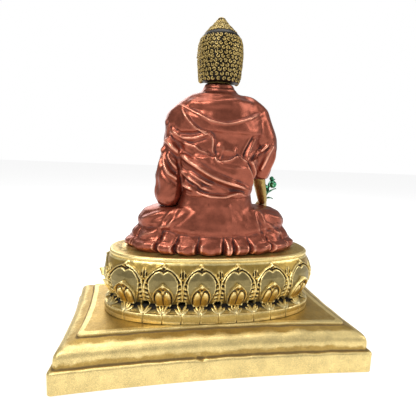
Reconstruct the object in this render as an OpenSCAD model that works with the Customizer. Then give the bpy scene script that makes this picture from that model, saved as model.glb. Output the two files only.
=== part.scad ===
// Medicine Buddha on a lotus throne: a shelf statue in cold-cast resin, sizes in millimetres.
// +Z is up and the figure faces -Y. The origin is on the ground, under the middle of the plinth.
// The pieces are glued, pegged and screwed together, and none of them moves.

/* [Plinth] */
// Width of the plinth's slab, from corner to corner
plinth_w = 200; // [180:1:260]
// Depth of the plinth's slab, from corner to corner
plinth_d = 110; // [96:1:150]
// Height from the ground to the plinth's top panel
plinth_h = 29; // [24:0.5:40]
// Height from the ground to the top of the square-edged slab
slab_h = 14; // [10:0.5:18]
// How far the middle of a long side curves in
long_sag = 3.8; // [0:0.2:6]
// How far the middle of a short side curves in
short_sag = 2; // [0:0.2:4]
// Radius of the plinth's upright corners
corner_r = 2.5; // [1:0.5:5]
// Width of the moulding between the slab's edge and the top panel
moulding_w = 14.8; // [11:0.2:18]
// Thickness of the hollow plinth's walls and top
plinth_wall = 6; // [4:0.5:8]

/* [Felt] */
// Thickness of the felt under the plinth
felt_t = 1.5; // [1:0.1:3]
// How far the felt stands below the plinth's rim
felt_proud = 0.5; // [0.2:0.1:1]
// Width of the rim that is left round the felt
felt_rim = 2.5; // [1.5:0.5:4]

/* [Throne] */
// Width of the throne's drum
drum_w = 134; // [110:1:162]
// Depth of the throne's drum
drum_d = 58; // [48:1:72]
// Height of the drum between its foot plate and its seat plate
drum_h = 33.5; // [27:0.5:42]
// How far the foot plate reaches past the drum
foot_reach = 7; // [5:0.5:9]
// Thickness of the foot plate
foot_t = 6.5; // [4:0.5:9]
// How far the seat plate reaches past the drum
seat_reach = 3; // [1:0.5:5]
// Thickness of the seat plate
seat_t = 4; // [3:0.5:7]
// Number of large petals round the drum
petal_count = 14; // [12:1:24]
// Diameter of the drip holes between the petals
drip_d = 3.2; // [2:0.1:4]
// Depth of the drip holes
drip_depth = 5; // [2:0.5:8]

/* [Fixings] */
// Distance between the two columns of screws
screw_span_x = 80; // [60:1:90]
// Distance between the two rows of screws
screw_span_y = 20; // [14:1:24]
// Diameter of the screws
screw_d = 4; // [3:0.5:5]
// Diameter of the screw heads
screw_head_d = 8; // [7:0.5:10]
// Height of the screw heads
screw_head_h = 3; // [2:0.5:4]
// How far the screws reach into their inserts
screw_bite = 8; // [5:0.5:10]
// Thickness of the washers under the screw heads
washer_t = 1; // [0.8:0.1:1.6]
// Diameter of the washers
washer_d = 11; // [10.5:0.5:14]
// Outer diameter of the brass inserts
insert_d = 7; // [6:0.5:9]
// Length of the brass inserts
insert_len = 11; // [9:0.5:14]
// Room round a screw in the hole that it passes through
screw_room = 0.4; // [0.2:0.1:0.8]
// Distance between the two steel pegs under the figure
seat_peg_span = 50; // [40:1:60]
// Diameter of the steel pegs under the figure
seat_peg_d = 6; // [4:0.5:8]
// Length of the steel pegs under the figure
seat_peg_len = 26; // [20:1:34]
// Diameter of the peg between the legs and the chest
waist_peg_d = 8; // [5:0.5:10]
// Length of the peg between the legs and the chest
waist_peg_len = 24; // [16:1:32]
// Diameter of the peg in the neck
neck_peg_d = 5; // [3:0.5:7]
// Length of the peg in the neck
neck_peg_len = 20; // [14:1:26]
// Diameter of the pins in the wrists and under the bowl
small_pin_d = 2; // [1.5:0.1:2.5]
// Room round a glued peg or pin
glue_room = 0.1; // [0.05:0.05:0.3]

/* [Figure] */
// Height of the figure from the seat plate to the tip of its hair
figure_h = 151; // [122:1:182]
// Thickness of the outer robe
robe_t = 2.6; // [1.6:0.2:4]
// Thickness of the cape over the shoulders
cape_t = 2; // [1.2:0.2:3]
// Thickness of the sash round the waist
sash_t = 2.2; // [1.2:0.2:3]
// Radius of the medicine bowl at its rim
bowl_r = 8.5; // [7:0.5:10]
// Height of the medicine bowl
bowl_h = 12; // [9:0.5:15]
// Thickness of the bowl's wall
bowl_wall = 1.2; // [0.8:0.1:2]
// Diameter of the sprig's stem
stem_d = 1.6; // [1.2:0.1:2.2]
// Diameter of the sprig's larger fruit
fruit_d = 5.4; // [4:0.2:6]

/* [Hidden] */
$fn = 48;
foot_z = plinth_h;
drum_z = foot_z + foot_t;
seat_z = drum_z + drum_h;
seat_top = seat_z + seat_t;

// The figure's own sizes are drawn for this height and scaled from it.
figure_base_h = 151;
k = figure_h / figure_base_h;

// Squareness of the throne's ovals: 2 is an ellipse, and more is squarer.
oval_n = 2.5;
// Flat faces round the drum for each petal: an odd number puts a petal on the middle of a face.
faces_per_petal = 5;
drum_faces = petal_count * faces_per_petal;
// Sides of the lofted pieces, and of the figure's own.
plate_sides = 72;
body_sides = 40;

// Plinth moulding: [share of its width, share of its rise] from the slab's edge to the top panel.
moulding = [
  [0, -0.08], [0.03, -0.02], [0.09, 0.03], [0.17, 0.06], [0.18, 0.1], [0.2, 0.45], [0.26, 0.6],
  [0.35, 0.69], [0.57, 0.77], [0.94, 0.85], [0.96, 0.97], [1, 1]
];

// Heights round the drum, measured up from the foot plate.
fringe_h = 4.2;
drip_h = 6;
small_petal_z = [7, 19.5];
large_petal_z = [7.5, 31.5];
rear_petal_z = [22, 33];
// Distances out from the drum's face.
fringe_out = 5.5;
petal_out = 3;
bulge_out = 6;
tip_out = 7.5;
bud_out = 8.6;
rear_t = 1.4;

// Level rings of the figure: [height above the seat, x, y, half width, half depth, squareness].
waist_h = 28;
neck_h = 105.5;
legs_rings = [
  [0, 0, 0, 55, 27, 2.4], [2.5, 0, 0, 59.5, 29.5, 2.4], [5.5, 0, 0, 58.5, 29, 2.4],
  [8, 0, 0, 54.5, 27, 2.3], [14, 0, 0, 53, 26, 2.4], [20, 0, 0, 51.5, 25, 2.4],
  [25, 0, 0.5, 47.5, 23.5, 2.3], [waist_h, 0, 1, 41, 22, 2.2]
];
torso_rings = [
  [waist_h, 0, 8, 24, 14.5, 2.2], [36, 0, 8.5, 20, 13.5, 2.2], [47, 0, 8, 22, 14, 2.2],
  [62, 0, 6.5, 25.5, 14.5, 2.2], [77, 0, 5, 27.5, 15, 2.3], [87, 0, 4, 28, 14.5, 2.3],
  [94, 0, 3.5, 25, 13, 2.2], [99, 0, 3, 18.5, 11, 2.1], [103, 0, 2.5, 11.5, 8.6, 2],
  [neck_h, 0, 2, 8.6, 8, 2]
];
left_sleeve_rings = [
  [28.3, 32, 4, 6.5, 9, 2], [32, 32, 4, 8.5, 12, 2], [35, 32, 3.5, 9.4, 13, 2],
  [42.5, 31, 3, 9, 13.5, 2], [47, 31.5, 3, 10, 13, 2], [58, 30, 3, 8.5, 12, 2],
  [68, 28.5, 3.5, 8, 11, 2], [78, 27, 4, 8, 11, 2], [84, 27, 4, 8.5, 10.5, 2],
  [90, 25.5, 4, 8, 9.5, 2], [95, 21.5, 4, 5.8, 8, 2], [98, 19, 4, 3, 4.6, 2]
];
right_sleeve_rings = [
  [47.6, -32.5, 0, 6, 8, 2], [52, -32.5, 0.5, 7.3, 9.5, 2], [58, -32, 1, 8.7, 11, 2],
  [68.5, -33, 2, 10.4, 12, 2], [75, -32, 3, 10.2, 12, 2], [84, -29, 4, 8.9, 11.5, 2],
  [93.5, -26, 4, 8.1, 10, 2], [99, -22, 4, 6.8, 8, 2], [103, -17.5, 3.5, 4, 5, 2]
];
head_rings = [
  [neck_h, 0, 2, 7.8, 7.8, 2], [110, 0, 1.5, 7.6, 7.6, 2], [112.5, 0, -1.5, 9, 10.5, 2.2],
  [116, 0, -2, 11, 13, 2.2], [122, 0, -1, 12.6, 15, 2.2], [128, 0, -0.5, 13, 15.5, 2.2],
  [134, 0, 0, 12.2, 14.8, 2.2], [139, 0, 0.5, 9.5, 12, 2.1], [141.5, 0, 0.5, 5, 7, 2]
];
crown_h = 145;
hair_rings = [
  [114, 0, 3, 12.5, 13, 2.2], [120, 0, 1.8, 14.2, 16.4, 2.2], [128, 0, 0.8, 14.7, 17.2, 2.2],
  [134, 0, 0.8, 14.2, 16.6, 2.2], [139, 0, 0.8, 12.6, 14.8, 2.1], [143, 0, 0.8, 8.6, 10, 2],
  [crown_h, 0, 0.8, 4.8, 5.2, 2]
];
spire_rings = [
  [crown_h, 0, 0.8, 4.3, 4.6, 2], [147, 0, 0.8, 3.3, 3.6, 2], [149.2, 0, 0.8, 1.7, 1.8, 2],
  [figure_base_h, 0, 0.8, 0.5, 0.5, 2]
];

// Pieces of the figure at their places, in the figure's own sizes.
left_elbow = [29.5, -2, 37];
left_cuff = [19.5, -12.5, 35.6];
left_wrist = [9.5, -17.5, 33.6];
right_cuff = [-33, -0.8, 47.6];
right_wrist = [-39.8, -9.5, 31];
bowl_at = [0, -17.5, 35.2];
stem_foot = [-42.2, -17.4, 24];
stem_tip = [-46.2, -10.5, 46];
spire_peg_d = 3;
spire_peg_len = 5;

// --- Outlines -------------------------------------------------------------------------------

// A point of a squared oval at angle a.
function oval_at(a, hx, hy, n) = [
  hx * sign(cos(a)) * pow(abs(cos(a)), 2 / n),
  hy * sign(sin(a)) * pow(abs(sin(a)), 2 / n)
];

// Running length along a closed list of points, one value more than there are points.
function running(p) = [
  for (i = 0, s = 0; i <= len(p); s = s + norm(p[(i + 1) % len(p)] - p[i % len(p)]), i = i + 1) s
];

// The point of a closed list at a given running length.
function point_on(p, run, s, i = 0) =
  run[i + 1] >= s || i + 1 >= len(p)
    ? let (t = (s - run[i]) / (run[i + 1] - run[i])) p[i] + t * (p[(i + 1) % len(p)] - p[i])
    : point_on(p, run, s, i + 1);

// The drum's outline: points spaced evenly along the oval, the first in the middle of the back.
fine_oval = [for (i = [0:359]) oval_at(90 + i, drum_w / 2, drum_d / 2, oval_n)];
fine_run = running(fine_oval);
drum_outline = [
  for (i = [0:drum_faces - 1]) point_on(fine_oval, fine_run, fine_run[360] * i / drum_faces)
];

// A plinth outline at an inset from the slab: sides that curve in between round corners.
long_steps = 12;
short_steps = 8;
corner_steps = 3;
function plinth_side(hx, hy, steps, sag) = [
  for (i = [1:steps - 1]) let (u = 1 - 2 * i / steps) [u * (hx - corner_r), hy - sag * (1 - u * u)]
];
function corner(hx, hy, turn) = [
  for (i = [0:corner_steps])
    let (a = turn + 90 * i / corner_steps)
    [hx + corner_r * cos(a), hy + corner_r * sin(a)]
];
function plinth_outline(inset) =
  let (
    hx = plinth_w / 2 - inset,
    hy = plinth_d / 2 - inset,
    cx = hx - corner_r,
    cy = hy - corner_r,
    long = plinth_side(hx, hy, long_steps, long_sag),
    short = plinth_side(hy, hx, short_steps, short_sag)
  )
  concat(
    corner(cx, cy, 0), long, corner(-cx, cy, 90), [for (p = short) [-p[1], p[0]]],
    corner(-cx, -cy, 180), [for (p = long) -p], corner(cx, -cy, 270),
    [for (p = short) [p[1], -p[0]]]
  );

// --- Lofts ----------------------------------------------------------------------------------

// A closed solid through level outlines, each with a height: every cap is a fan from its centre.
module loft(outlines, heights) {
  n = len(outlines[0]);
  top = len(outlines) - 1;
  points = concat(
    [for (j = [0:top]) for (p = outlines[j]) [p[0], p[1], heights[j]]],
    [for (j = [0, top]) let (c = mean(outlines[j])) [c[0], c[1], heights[j]]]
  );
  low = n * (top + 1);
  polyhedron(points, concat(
    [for (i = [0:n - 1]) [low, i, (i + 1) % n]],
    [for (j = [0:top - 1]) for (i = [0:n - 1]) for (t = [0, 1]) wall(j * n, j * n + n, i, n, t)],
    [for (i = [0:n - 1]) [low + 1, top * n + (i + 1) % n, top * n + i]]
  ), convexity = 6);
}
function mean(p) = [for (axis = [0, 1]) [for (q = p) q[axis]] * [for (q = p) 1] / len(p)];

// Half of the four-sided face between two rings that start at points a and b.
// A face seen from its other side is cut along its other diagonal, so that two layers fit.
function wall(a, b, i, n, half, inside = false) =
  let (j = (i + 1) % n)
  inside
    ? (half == 0 ? [a + i, b + i, a + j] : [b + i, b + j, a + j])
    : (half == 0 ? [a + i, b + i, b + j] : [a + i, b + j, a + j]);

// A closed band through rings that run round the drum, the last joined back to the first.
module band(rings) {
  n = len(rings[0]);
  m = len(rings);
  polyhedron(
    [for (r = rings) for (p = r) p],
    [for (j = [0:m - 1]) for (i = [0:n - 1]) for (t = [0, 1]) wall(j * n, (j + 1) % m * n, i, n, t)],
    convexity = 6
  );
}

// One ring of the figure, grown outwards, as a flat outline.
function body_outline(r, grow = 0) = [
  for (i = [0:body_sides - 1])
    k * ([r[1], r[2]] + oval_at(360 * i / body_sides, r[3] + grow, r[4] + grow, r[5]))
];
function body_heights(rings) = [for (r = rings) seat_top + k * r[0]];
module body(rings, grow = 0) {
  loft([for (r = rings) body_outline(r, grow)], body_heights(rings));
}

// A layer of cloth on the body's rings, from one side number to another.
module layer(rings, under, thick, first, last) {
  outlines = [for (r = rings) for (g = [under + thick, under]) body_outline(r, g)];
  heights = [for (z = body_heights(rings)) for (t = [0, 1]) z];
  n = last - first + 1;
  row = 2 * n;
  m = len(rings);
  points = [
    for (j = [0:m - 1]) for (t = [0, 1]) for (i = [0:n - 1])
      let (s = (t == 0 ? first + i : last - i) % body_sides, p = outlines[2 * j + t][s])
      [p[0], p[1], heights[2 * j]]
  ];
  polyhedron(points, concat(
    [for (i = [0:n - 2]) [i, i + 1, row - 2 - i, row - 1 - i]],
    [for (j = [0:m - 2]) for (i = [0:row - 1]) for (t = [0, 1])
      wall(j * row, (j + 1) * row, i, row, t, i >= n)],
    [for (i = [0:n - 2]) [for (c = [row - 1 - i, row - 2 - i, i + 1, i]) (m - 1) * row + c]]
  ), convexity = 8);
}

// --- Small helpers --------------------------------------------------------------------------

// A point of the figure in the part's frame.
function fig(p) = [k * p[0], k * p[1], seat_top + k * p[2]];

// A rounded limb between two balls of the figure, each [x, y, height, radius].
module limb(a, b) {
  hull() {
    translate(fig(a)) sphere(k * a[3], $fn = 16);
    translate(fig(b)) sphere(k * b[3], $fn = 16);
  }
}

// An upright plate inside the given outline, between two heights.
module slab(outline, z0, z1) {
  translate([0, 0, z0]) linear_extrude(z1 - z0) polygon(outline);
}

// Children at the place of each petal: +X points out of the drum, +Z up from the foot plate.
module round_the_drum(shift) {
  for (i = [0:petal_count - 1]) {
    a = drum_outline[(i * faces_per_petal + shift[0] + drum_faces) % drum_faces];
    b = drum_outline[(i * faces_per_petal + shift[1] + drum_faces) % drum_faces];
    middle = (a + b) / 2;
    along = b - a;
    translate([middle[0], middle[1], drum_z]) rotate(atan2(along[1], along[0]) - 90) children();
  }
}
petal_place = [(faces_per_petal - 1) / 2, (faces_per_petal + 1) / 2];
gap_place = [-1, 1];
petal_pitch = fine_run[360] / petal_count;

// A pointed arch, drawn with its foot at zero height.
arch_steps = 6;
function arch(half_w, height) =
  let (
    side = [for (i = [0:arch_steps]) let (a = 90 * i / arch_steps)
      [half_w * (1 - 0.12 * cos(2 * a) - 0.88 * (1 - cos(a)) * sin(a)), height * (0.2 + 0.73 * sin(a))]]
  )
  concat([[0.45 * half_w, 0]], side, [[0, height]],
    [for (i = [arch_steps:-1:0]) [-side[i][0], side[i][1]]], [[-0.45 * half_w, 0]]);

// A petal: the arch seen from outside, cut to the given side outline of [distance out, height].
module petal(half_w, z, side) {
  intersection() {
    translate([-1, 0, z[0]]) rotate([90, 0, 90])
      linear_extrude(bud_out + 2) polygon(arch(half_w, z[1] - z[0]));
    translate([0, half_w + 1, 0]) rotate([90, 0, 0]) linear_extrude(2 * half_w + 2) polygon(side);
  }
}

// The holes for the screws, or the screws themselves, at their four places.
module at_screws() {
  for (x = [-1, 1], y = [-1, 1])
    translate([x * screw_span_x / 2, y * screw_span_y / 2, 0]) children();
}
module seat_peg_shape(room) {
  for (x = [-1, 1])
    translate([x * seat_peg_span / 2, 0, seat_z - seat_peg_len / 2])
      cylinder(d = seat_peg_d + 2 * room, h = seat_peg_len);
}
waist_peg_y = 8;
module waist_peg_shape(room) {
  translate([0, k * waist_peg_y, seat_top + k * waist_h - waist_peg_len / 2])
    cylinder(d = waist_peg_d + 2 * room, h = waist_peg_len);
}
module neck_peg_shape(room) {
  translate([0, k * 2, seat_top + k * neck_h - neck_peg_len / 2])
    cylinder(d = neck_peg_d + 2 * room, h = neck_peg_len);
}
// Children at a, turned so that +Z points to b.
module along(a, b) {
  d = b - a;
  translate(a) rotate([0, acos(d[2] / norm(d)), atan2(d[1], d[0])]) children();
}
wrist_pin_len = 11;
module left_pin_shape(room) {
  along(fig(left_cuff), fig(left_wrist))
    cylinder(d = small_pin_d + 2 * room, h = wrist_pin_len, center = true);
}
module right_pin_shape(room) {
  along(fig(right_cuff), fig(right_wrist))
    cylinder(d = small_pin_d + 2 * room, h = wrist_pin_len, center = true);
}
bowl_pin_len = 5;
module bowl_pin_shape(room) {
  translate(fig(bowl_at) - [0, 0, bowl_pin_len / 2])
    cylinder(d = small_pin_d + 2 * room, h = bowl_pin_len);
}

// --- Plinth ---------------------------------------------------------------------------------

module base_felt() {
  color("#2c2f33") slab(plinth_outline(felt_rim), 0, felt_t);
}

module plinth() {
  rise = plinth_h - slab_h;
  color("#c09a4c") difference() {
    loft(
      concat([plinth_outline(0)], [for (m = moulding) plinth_outline(m[0] * moulding_w)]),
      concat([felt_proud], [for (m = moulding) slab_h + m[1] * rise])
    );
    slab(plinth_outline(felt_rim), -1, felt_t);
    slab(plinth_outline(plinth_wall), 0, slab_h - 1);
    slab(plinth_outline(plinth_wall + moulding_w * 0.35), 0, plinth_h - plinth_wall);
    at_screws() cylinder(d = screw_d + screw_room, h = plinth_h + 1);
  }
}

module fixing_screws() {
  under = plinth_h - plinth_wall - washer_t;
  color("#b8babd") at_screws() {
    translate([0, 0, under - screw_head_h]) difference() {
      cylinder(d = screw_head_d, h = screw_head_h);
      translate([0, 0, -1]) cylinder(d = screw_d * 0.75, h = screw_head_h * 0.6 + 1, $fn = 6);
    }
    translate([0, 0, under]) cylinder(d = screw_d, h = drum_z + screw_bite - under);
  }
}

module screw_washers() {
  color("#c9cbce") at_screws() translate([0, 0, plinth_h - plinth_wall - washer_t])
    difference() {
      cylinder(d = washer_d, h = washer_t);
      translate([0, 0, -1]) cylinder(d = screw_d + screw_room, h = washer_t + 2);
    }
}

module threaded_inserts() {
  color("#c8a24a") at_screws() translate([0, 0, drum_z]) difference() {
    cylinder(d = insert_d, h = insert_len);
    translate([0, 0, -1]) cylinder(d = screw_d, h = insert_len + 2);
  }
}

// --- Throne ---------------------------------------------------------------------------------

// An oval that reaches past the drum all round.
function plate_outline(reach) = [
  for (i = [0:plate_sides - 1])
    oval_at(360 * i / plate_sides, drum_w / 2 + reach, drum_d / 2 + reach, oval_n)
];

module throne_foot() {
  edge = 1.2;
  outer = plate_outline(foot_reach);
  color("#c3a050") difference() {
    loft([outer, outer, plate_outline(foot_reach - edge)], [foot_z, drum_z - edge, drum_z]);
    at_screws() translate([0, 0, foot_z - 1]) cylinder(d = screw_d + screw_room, h = foot_t + 2);
  }
}

module throne_drum() {
  color("#6b5420") difference() {
    slab(drum_outline, drum_z, seat_z);
    at_screws() translate([0, 0, drum_z - 1]) cylinder(d = insert_d, h = insert_len + 2);
    seat_peg_shape(glue_room);
    round_the_drum(gap_place) translate([-drip_depth, 0, drip_h]) rotate([0, 90, 0])
      cylinder(d = drip_d, h = drip_depth + 2);
  }
}

// The fringe: two leaves under each petal, spreading on to the foot plate.
leaf_points = 10;
module fringe_leaves() {
  n = petal_count * leaf_points;
  inside = [for (i = [0:n - 1]) point_on(drum_outline, running(drum_outline), i / n * drum_run)];
  function ring(out, scallop, z) = [
    for (i = [0:n - 1])
      let (
        p = inside[i],
        t = inside[(i + 1) % n] - inside[(i + n - 1) % n],
        out_way = [t[1], -t[0]] / norm(t),
        reach = out - scallop * pow(abs(cos(360 * i / leaf_points)), 3)
      )
      [p[0] + reach * out_way[0], p[1] + reach * out_way[1], drum_z + z]
  ];
  color("#b4913f") band([
    ring(0, 0, 0), ring(fringe_out, 1.6, 0), ring(fringe_out - 0.4, 1.6, 1), ring(3.4, 0.8, 2.6),
    ring(1.6, 0.4, fringe_h), ring(0, 0, fringe_h)
  ]);
}
drum_run = running(drum_outline)[drum_faces];

// How far out the large petals' front stands at a height, up to the top of the small petals.
function petal_front(z) =
  petal_out + (bulge_out - petal_out) * (z - small_petal_z[0]) / (small_petal_z[1] - small_petal_z[0]);

module large_petals() {
  z = large_petal_z;
  side = [
    [0, z[0]], [petal_front(z[0]), z[0]], [bulge_out, small_petal_z[1]],
    [bulge_out + 0.2, z[1] - 5], [tip_out, z[1]], [tip_out - 1.2, z[1]],
    [rear_t + 1.6, z[1] - 4], [rear_t, rear_petal_z[0]], [0, rear_petal_z[0]]
  ];
  color("#c6a552") round_the_drum(petal_place) petal(petal_pitch * 0.46, z, side);
}

module small_petals() {
  z = small_petal_z;
  side = [
    [petal_front(large_petal_z[0]), large_petal_z[0]], [petal_out + 3, z[0]],
    [bud_out, z[0] + 4], [bud_out - 0.6, z[1] - 2], [bulge_out, z[1]]
  ];
  color("#d2b25e") round_the_drum(petal_place) petal(petal_pitch * 0.24, z, side);
}

module rear_petals() {
  n = drum_faces;
  low = rear_petal_z[0];
  rise = rear_petal_z[1] - low;
  rear_half = (faces_per_petal - 1) / 2;
  function ring(out, tip) = [
    for (i = [0:n - 1])
      let (
        p = drum_outline[i],
        t = drum_outline[(i + 1) % n] - drum_outline[(i + n - 1) % n],
        way = [t[1], -t[0]] / norm(t),
        near = abs((i + rear_half) % faces_per_petal - rear_half) / rear_half
      )
      [p[0] + out * way[0], p[1] + out * way[1], drum_z + low + tip * rise * (1 - 0.7 * near)]
  ];
  color("#a98a3e") band([ring(0, 0), ring(rear_t, 0), ring(rear_t, 1), ring(0, 1)]);
}

module seat_plate() {
  // Share of the plate's thickness, and how far the rounded edge stands back there.
  edge = [[0, 0.9], [0.2, 0.15], [0.5, 0], [0.8, 0.15], [1, 0.9]];
  color("#c7a453") difference() {
    loft([for (e = edge) plate_outline(seat_reach - e[1])], [for (e = edge) seat_z + e[0] * seat_t]);
    seat_peg_shape(glue_room);
  }
}

module seat_pegs() {
  color("#9fa3a8") seat_peg_shape(0);
}

// --- Figure ---------------------------------------------------------------------------------

module lower_body() {
  color("#8c4634") difference() {
    body(legs_rings);
    seat_peg_shape(glue_room);
    waist_peg_shape(glue_room);
  }
}

module waist_peg() {
  color("#9fa3a8") waist_peg_shape(0);
}

module torso() {
  color("#c79a58") difference() {
    body(torso_rings);
    waist_peg_shape(glue_room);
    neck_peg_shape(glue_room);
  }
}

// The robe wraps the back and sides and leaves the chest open.
robe_rings = [for (i = [1:8]) torso_rings[i]];
robe_sides = [34, 66];
module outer_robe() {
  color("#93493a") layer(robe_rings, 0, robe_t / k, robe_sides[0], robe_sides[1]);
}

cape_rings = [for (i = [4:8]) torso_rings[i]];
cape_sides = [36, 64];
module shoulder_cape() {
  color("#a55440") layer(cape_rings, robe_t / k, cape_t / k, cape_sides[0], cape_sides[1]);
}

sash_rings = [for (i = [1:3]) torso_rings[i]];
sash_sides = [3, 17];
module sash() {
  color("#9c4e3c") layer(sash_rings, robe_t / k, sash_t / k, sash_sides[0], sash_sides[1]);
}

// The room that the chest, its robe and its cape take up.
module dressed_body() {
  body(torso_rings, robe_t / k);
  body(cape_rings, (robe_t + cape_t) / k);
}

module left_sleeve() {
  cuff_r = 6.4;
  color("#984c3b") difference() {
    union() {
      body(left_sleeve_rings);
      hull() {
        translate(fig(left_elbow)) sphere(k * 8.6, $fn = 20);
        along(fig(left_cuff), fig(left_wrist)) mirror([0, 0, 1])
          cylinder(r = k * cuff_r, h = 0.5, $fn = 20);
      }
    }
    dressed_body();
    left_pin_shape(glue_room);
  }
}

module right_sleeve() {
  color("#984c3b") difference() {
    body(right_sleeve_rings);
    dressed_body();
    right_pin_shape(glue_room);
  }
}

// The right arm hangs to the knee with the palm outwards and the fingers down.
module right_forearm() {
  color("#c9a050") difference() {
    union() {
      hull() {
        translate(fig(right_cuff)) mirror([0, 0, 1]) cylinder(r = k * 4.7, h = 0.5, $fn = 20);
        translate(fig(right_wrist)) sphere(k * 3.5, $fn = 16);
      }
      hull() {
        translate(fig(right_wrist)) sphere(k * 3.2, $fn = 16);
        for (x = [-45, -39.5]) translate(fig([x, -18.5, 24])) sphere(k * 2, $fn = 16);
      }
      for (f = [[-39.4, 17], [-41.4, 15.8], [-43.4, 16.4], [-45.2, 18.4]])
        limb([f[0], -19, 23.5, 1.6], [f[0] - 0.4, -21.5, f[1], 1.2]);
      limb([-38.4, -13.5, 28, 1.8], [-38.6, -20.6, 25, 1.4]);
    }
    body(legs_rings);
    right_pin_shape(glue_room);
    rod(fig(stem_foot), fig(stem_tip), stem_d + 2 * glue_room);
  }
}

// The left hand lies in the lap, palm up, under the bowl.
module left_forearm() {
  color("#c9a050") difference() {
    union() {
      hull() {
        along(fig(left_cuff), fig(left_wrist)) cylinder(r = k * 4.4, h = 0.5, $fn = 20);
        translate(fig(left_wrist)) sphere(k * 3.4, $fn = 16);
      }
      hull() {
        translate(fig(left_wrist)) sphere(k * 3.2, $fn = 16);
        for (y = [-21.5, -14]) translate(fig([-4, y, 32.4])) sphere(k * 2.8, $fn = 16);
      }
      for (y = [-22, -19.6, -17.2, -14.8])
        limb([-4, y, 33, 1.6], [-11.5 + abs(y + 18.4) * 0.4, y, 33.8, 1.2]);
      limb([7.5, -20.5, 33.6, 1.9], [4.5, -26, 36.6, 1.4]);
    }
    translate(fig(bowl_at)) cylinder(r = bowl_r * 0.62, h = 6);
    left_pin_shape(glue_room);
    bowl_pin_shape(glue_room);
  }
}

module wrist_pins() {
  color("#9fa3a8") {
    left_pin_shape(0);
    right_pin_shape(0);
  }
}

// The feet are crossed over the front of the legs, soles outwards.
module feet() {
  color("#c9a050") difference() {
    union() {
      limb([17, -21, 22, 3.6], [1, -24.6, 19.5, 3.4]);
      limb([-17, -20.6, 21, 3.6], [-5.5, -23.6, 19.5, 3.2]);
    }
    body(legs_rings);
  }
}

module medicine_bowl() {
  foot_r = bowl_r * 0.55;
  outside = [[0, 0], [foot_r, 0], [foot_r, 1], [bowl_r * 0.82, 3.6], [bowl_r, bowl_h * 0.6],
    [bowl_r * 0.95, bowl_h]];
  inside = [[bowl_r * 0.95 - bowl_wall, bowl_h], [bowl_r - bowl_wall, bowl_h * 0.6],
    [bowl_r * 0.82 - bowl_wall, 3.6 + bowl_wall], [0, 1.6 + bowl_wall]];
  color("#5a6fb0") translate(fig(bowl_at)) difference() {
    rotate_extrude() polygon(concat(outside, inside));
    translate([0, 0, -1]) cylinder(d = small_pin_d + 2 * glue_room, h = bowl_pin_len / 2 + 1);
  }
}

module bowl_pin() {
  color("#9fa3a8") bowl_pin_shape(0);
}

// --- Head -----------------------------------------------------------------------------------

module ears() {
  for (side = [-1, 1]) hull() {
    translate(fig([side * 13.1, 1, 123.5])) sphere(k * 2.3, $fn = 16);
    translate(fig([side * 12.4, 0.6, 117])) sphere(k * 1.4, $fn = 16);
    translate(fig([side * 12.2, 0.4, 111.5])) sphere(k * 1.9, $fn = 16);
  }
}
module spire_peg_shape(room) {
  translate([0, k * 0.8, seat_top + k * crown_h - spire_peg_len])
    cylinder(d = spire_peg_d + 2 * room, h = spire_peg_len);
}

module head() {
  color("#cba257") difference() {
    union() {
      body(head_rings);
      ears();
      limb([0, -15.4, 126, 1.2], [0, -16.6, 120.5, 1.7]);
    }
    neck_peg_shape(glue_room);
    spire_peg_shape(glue_room);
  }
}

module neck_peg() {
  color("#9fa3a8") neck_peg_shape(0);
}

// The cap of hair leaves the face open in front of the ears and under the hairline.
module hair_cap() {
  window = [[-20, 100], [20, 100], [20, 124], [11.5, 127], [8, 131.5], [0, 134], [-8, 131.5],
    [-11.5, 127], [-20, 124]];
  color("#2a2118") difference() {
    body(hair_rings);
    body(head_rings);
    ears();
    translate([0, -k * 2, 0]) rotate([90, 0, 0]) linear_extrude(k * 20)
      polygon([for (p = window) [k * p[0], seat_top + k * p[1]]]);
    spire_peg_shape(glue_room);
  }
}

module hair_spire() {
  color("#c9a65c") {
    body(spire_rings);
    spire_peg_shape(0);
  }
}

// --- Sprig ----------------------------------------------------------------------------------

module rod(a, b, d) {
  along(a, b) cylinder(d = d, h = norm(b - a));
}
function on_stem(share) = stem_foot + share * (stem_tip - stem_foot);
module sprig_stem() {
  color("#2f7a4c") rod(fig(stem_foot), fig(stem_tip), stem_d);
}

// A flat pointed leaf from a to b.
leaf_t = 0.9;
module leaf(a, b, half_w) {
  len = norm(b - a);
  along(a, b) rotate([0, 90, 0]) translate([0, 0, -leaf_t / 2]) linear_extrude(leaf_t)
    polygon([for (i = [0:12]) let (t = i < 7 ? i / 6 : 2 - i / 6)
      [-len * t, (i < 7 ? 1 : -1) * half_w * sin(180 * pow(t, 0.8))]]);
}
// Each leaf: where it leaves the stem, its tip, and half its width.
leaves = [
  [0.42, [-50.5, -10, 40], 2.6], [0.55, [-44.5, -21, 42], 2.4],
  [0.3, [-51, -16.5, 31], 2.2], [0.75, [-51, -14.5, 47], 2.2]
];
module sprig_leaves() {
  color("#2f9a5c") difference() {
    for (f = leaves) leaf(fig(on_stem(f[0])), fig(f[1]), k * f[2]);
    sprig_stem();
  }
}

// Each fruit: its middle, and its share of the largest fruit's diameter.
fruits = [[[-46.3, -10.3, 47.2], 0.6], [[-47, -8.8, 43], 1], [[-42.6, -12.4, 36.8], 0.6]];
module sprig_fruits() {
  color("#48b070") difference() {
    for (f = fruits) translate(fig(f[0])) sphere(d = k * fruit_d * f[1]);
    sprig_stem();
    sprig_leaves();
  }
}

base_felt();
plinth();
fixing_screws();
screw_washers();
threaded_inserts();
throne_foot();
throne_drum();
fringe_leaves();
large_petals();
small_petals();
rear_petals();
seat_plate();
seat_pegs();
lower_body();
waist_peg();
torso();
outer_robe();
shoulder_cape();
sash();
left_sleeve();
right_sleeve();
left_forearm();
right_forearm();
wrist_pins();
feet();
medicine_bowl();
bowl_pin();
head();
neck_peg();
hair_cap();
hair_spire();
sprig_stem();
sprig_leaves();
sprig_fruits();
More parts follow.
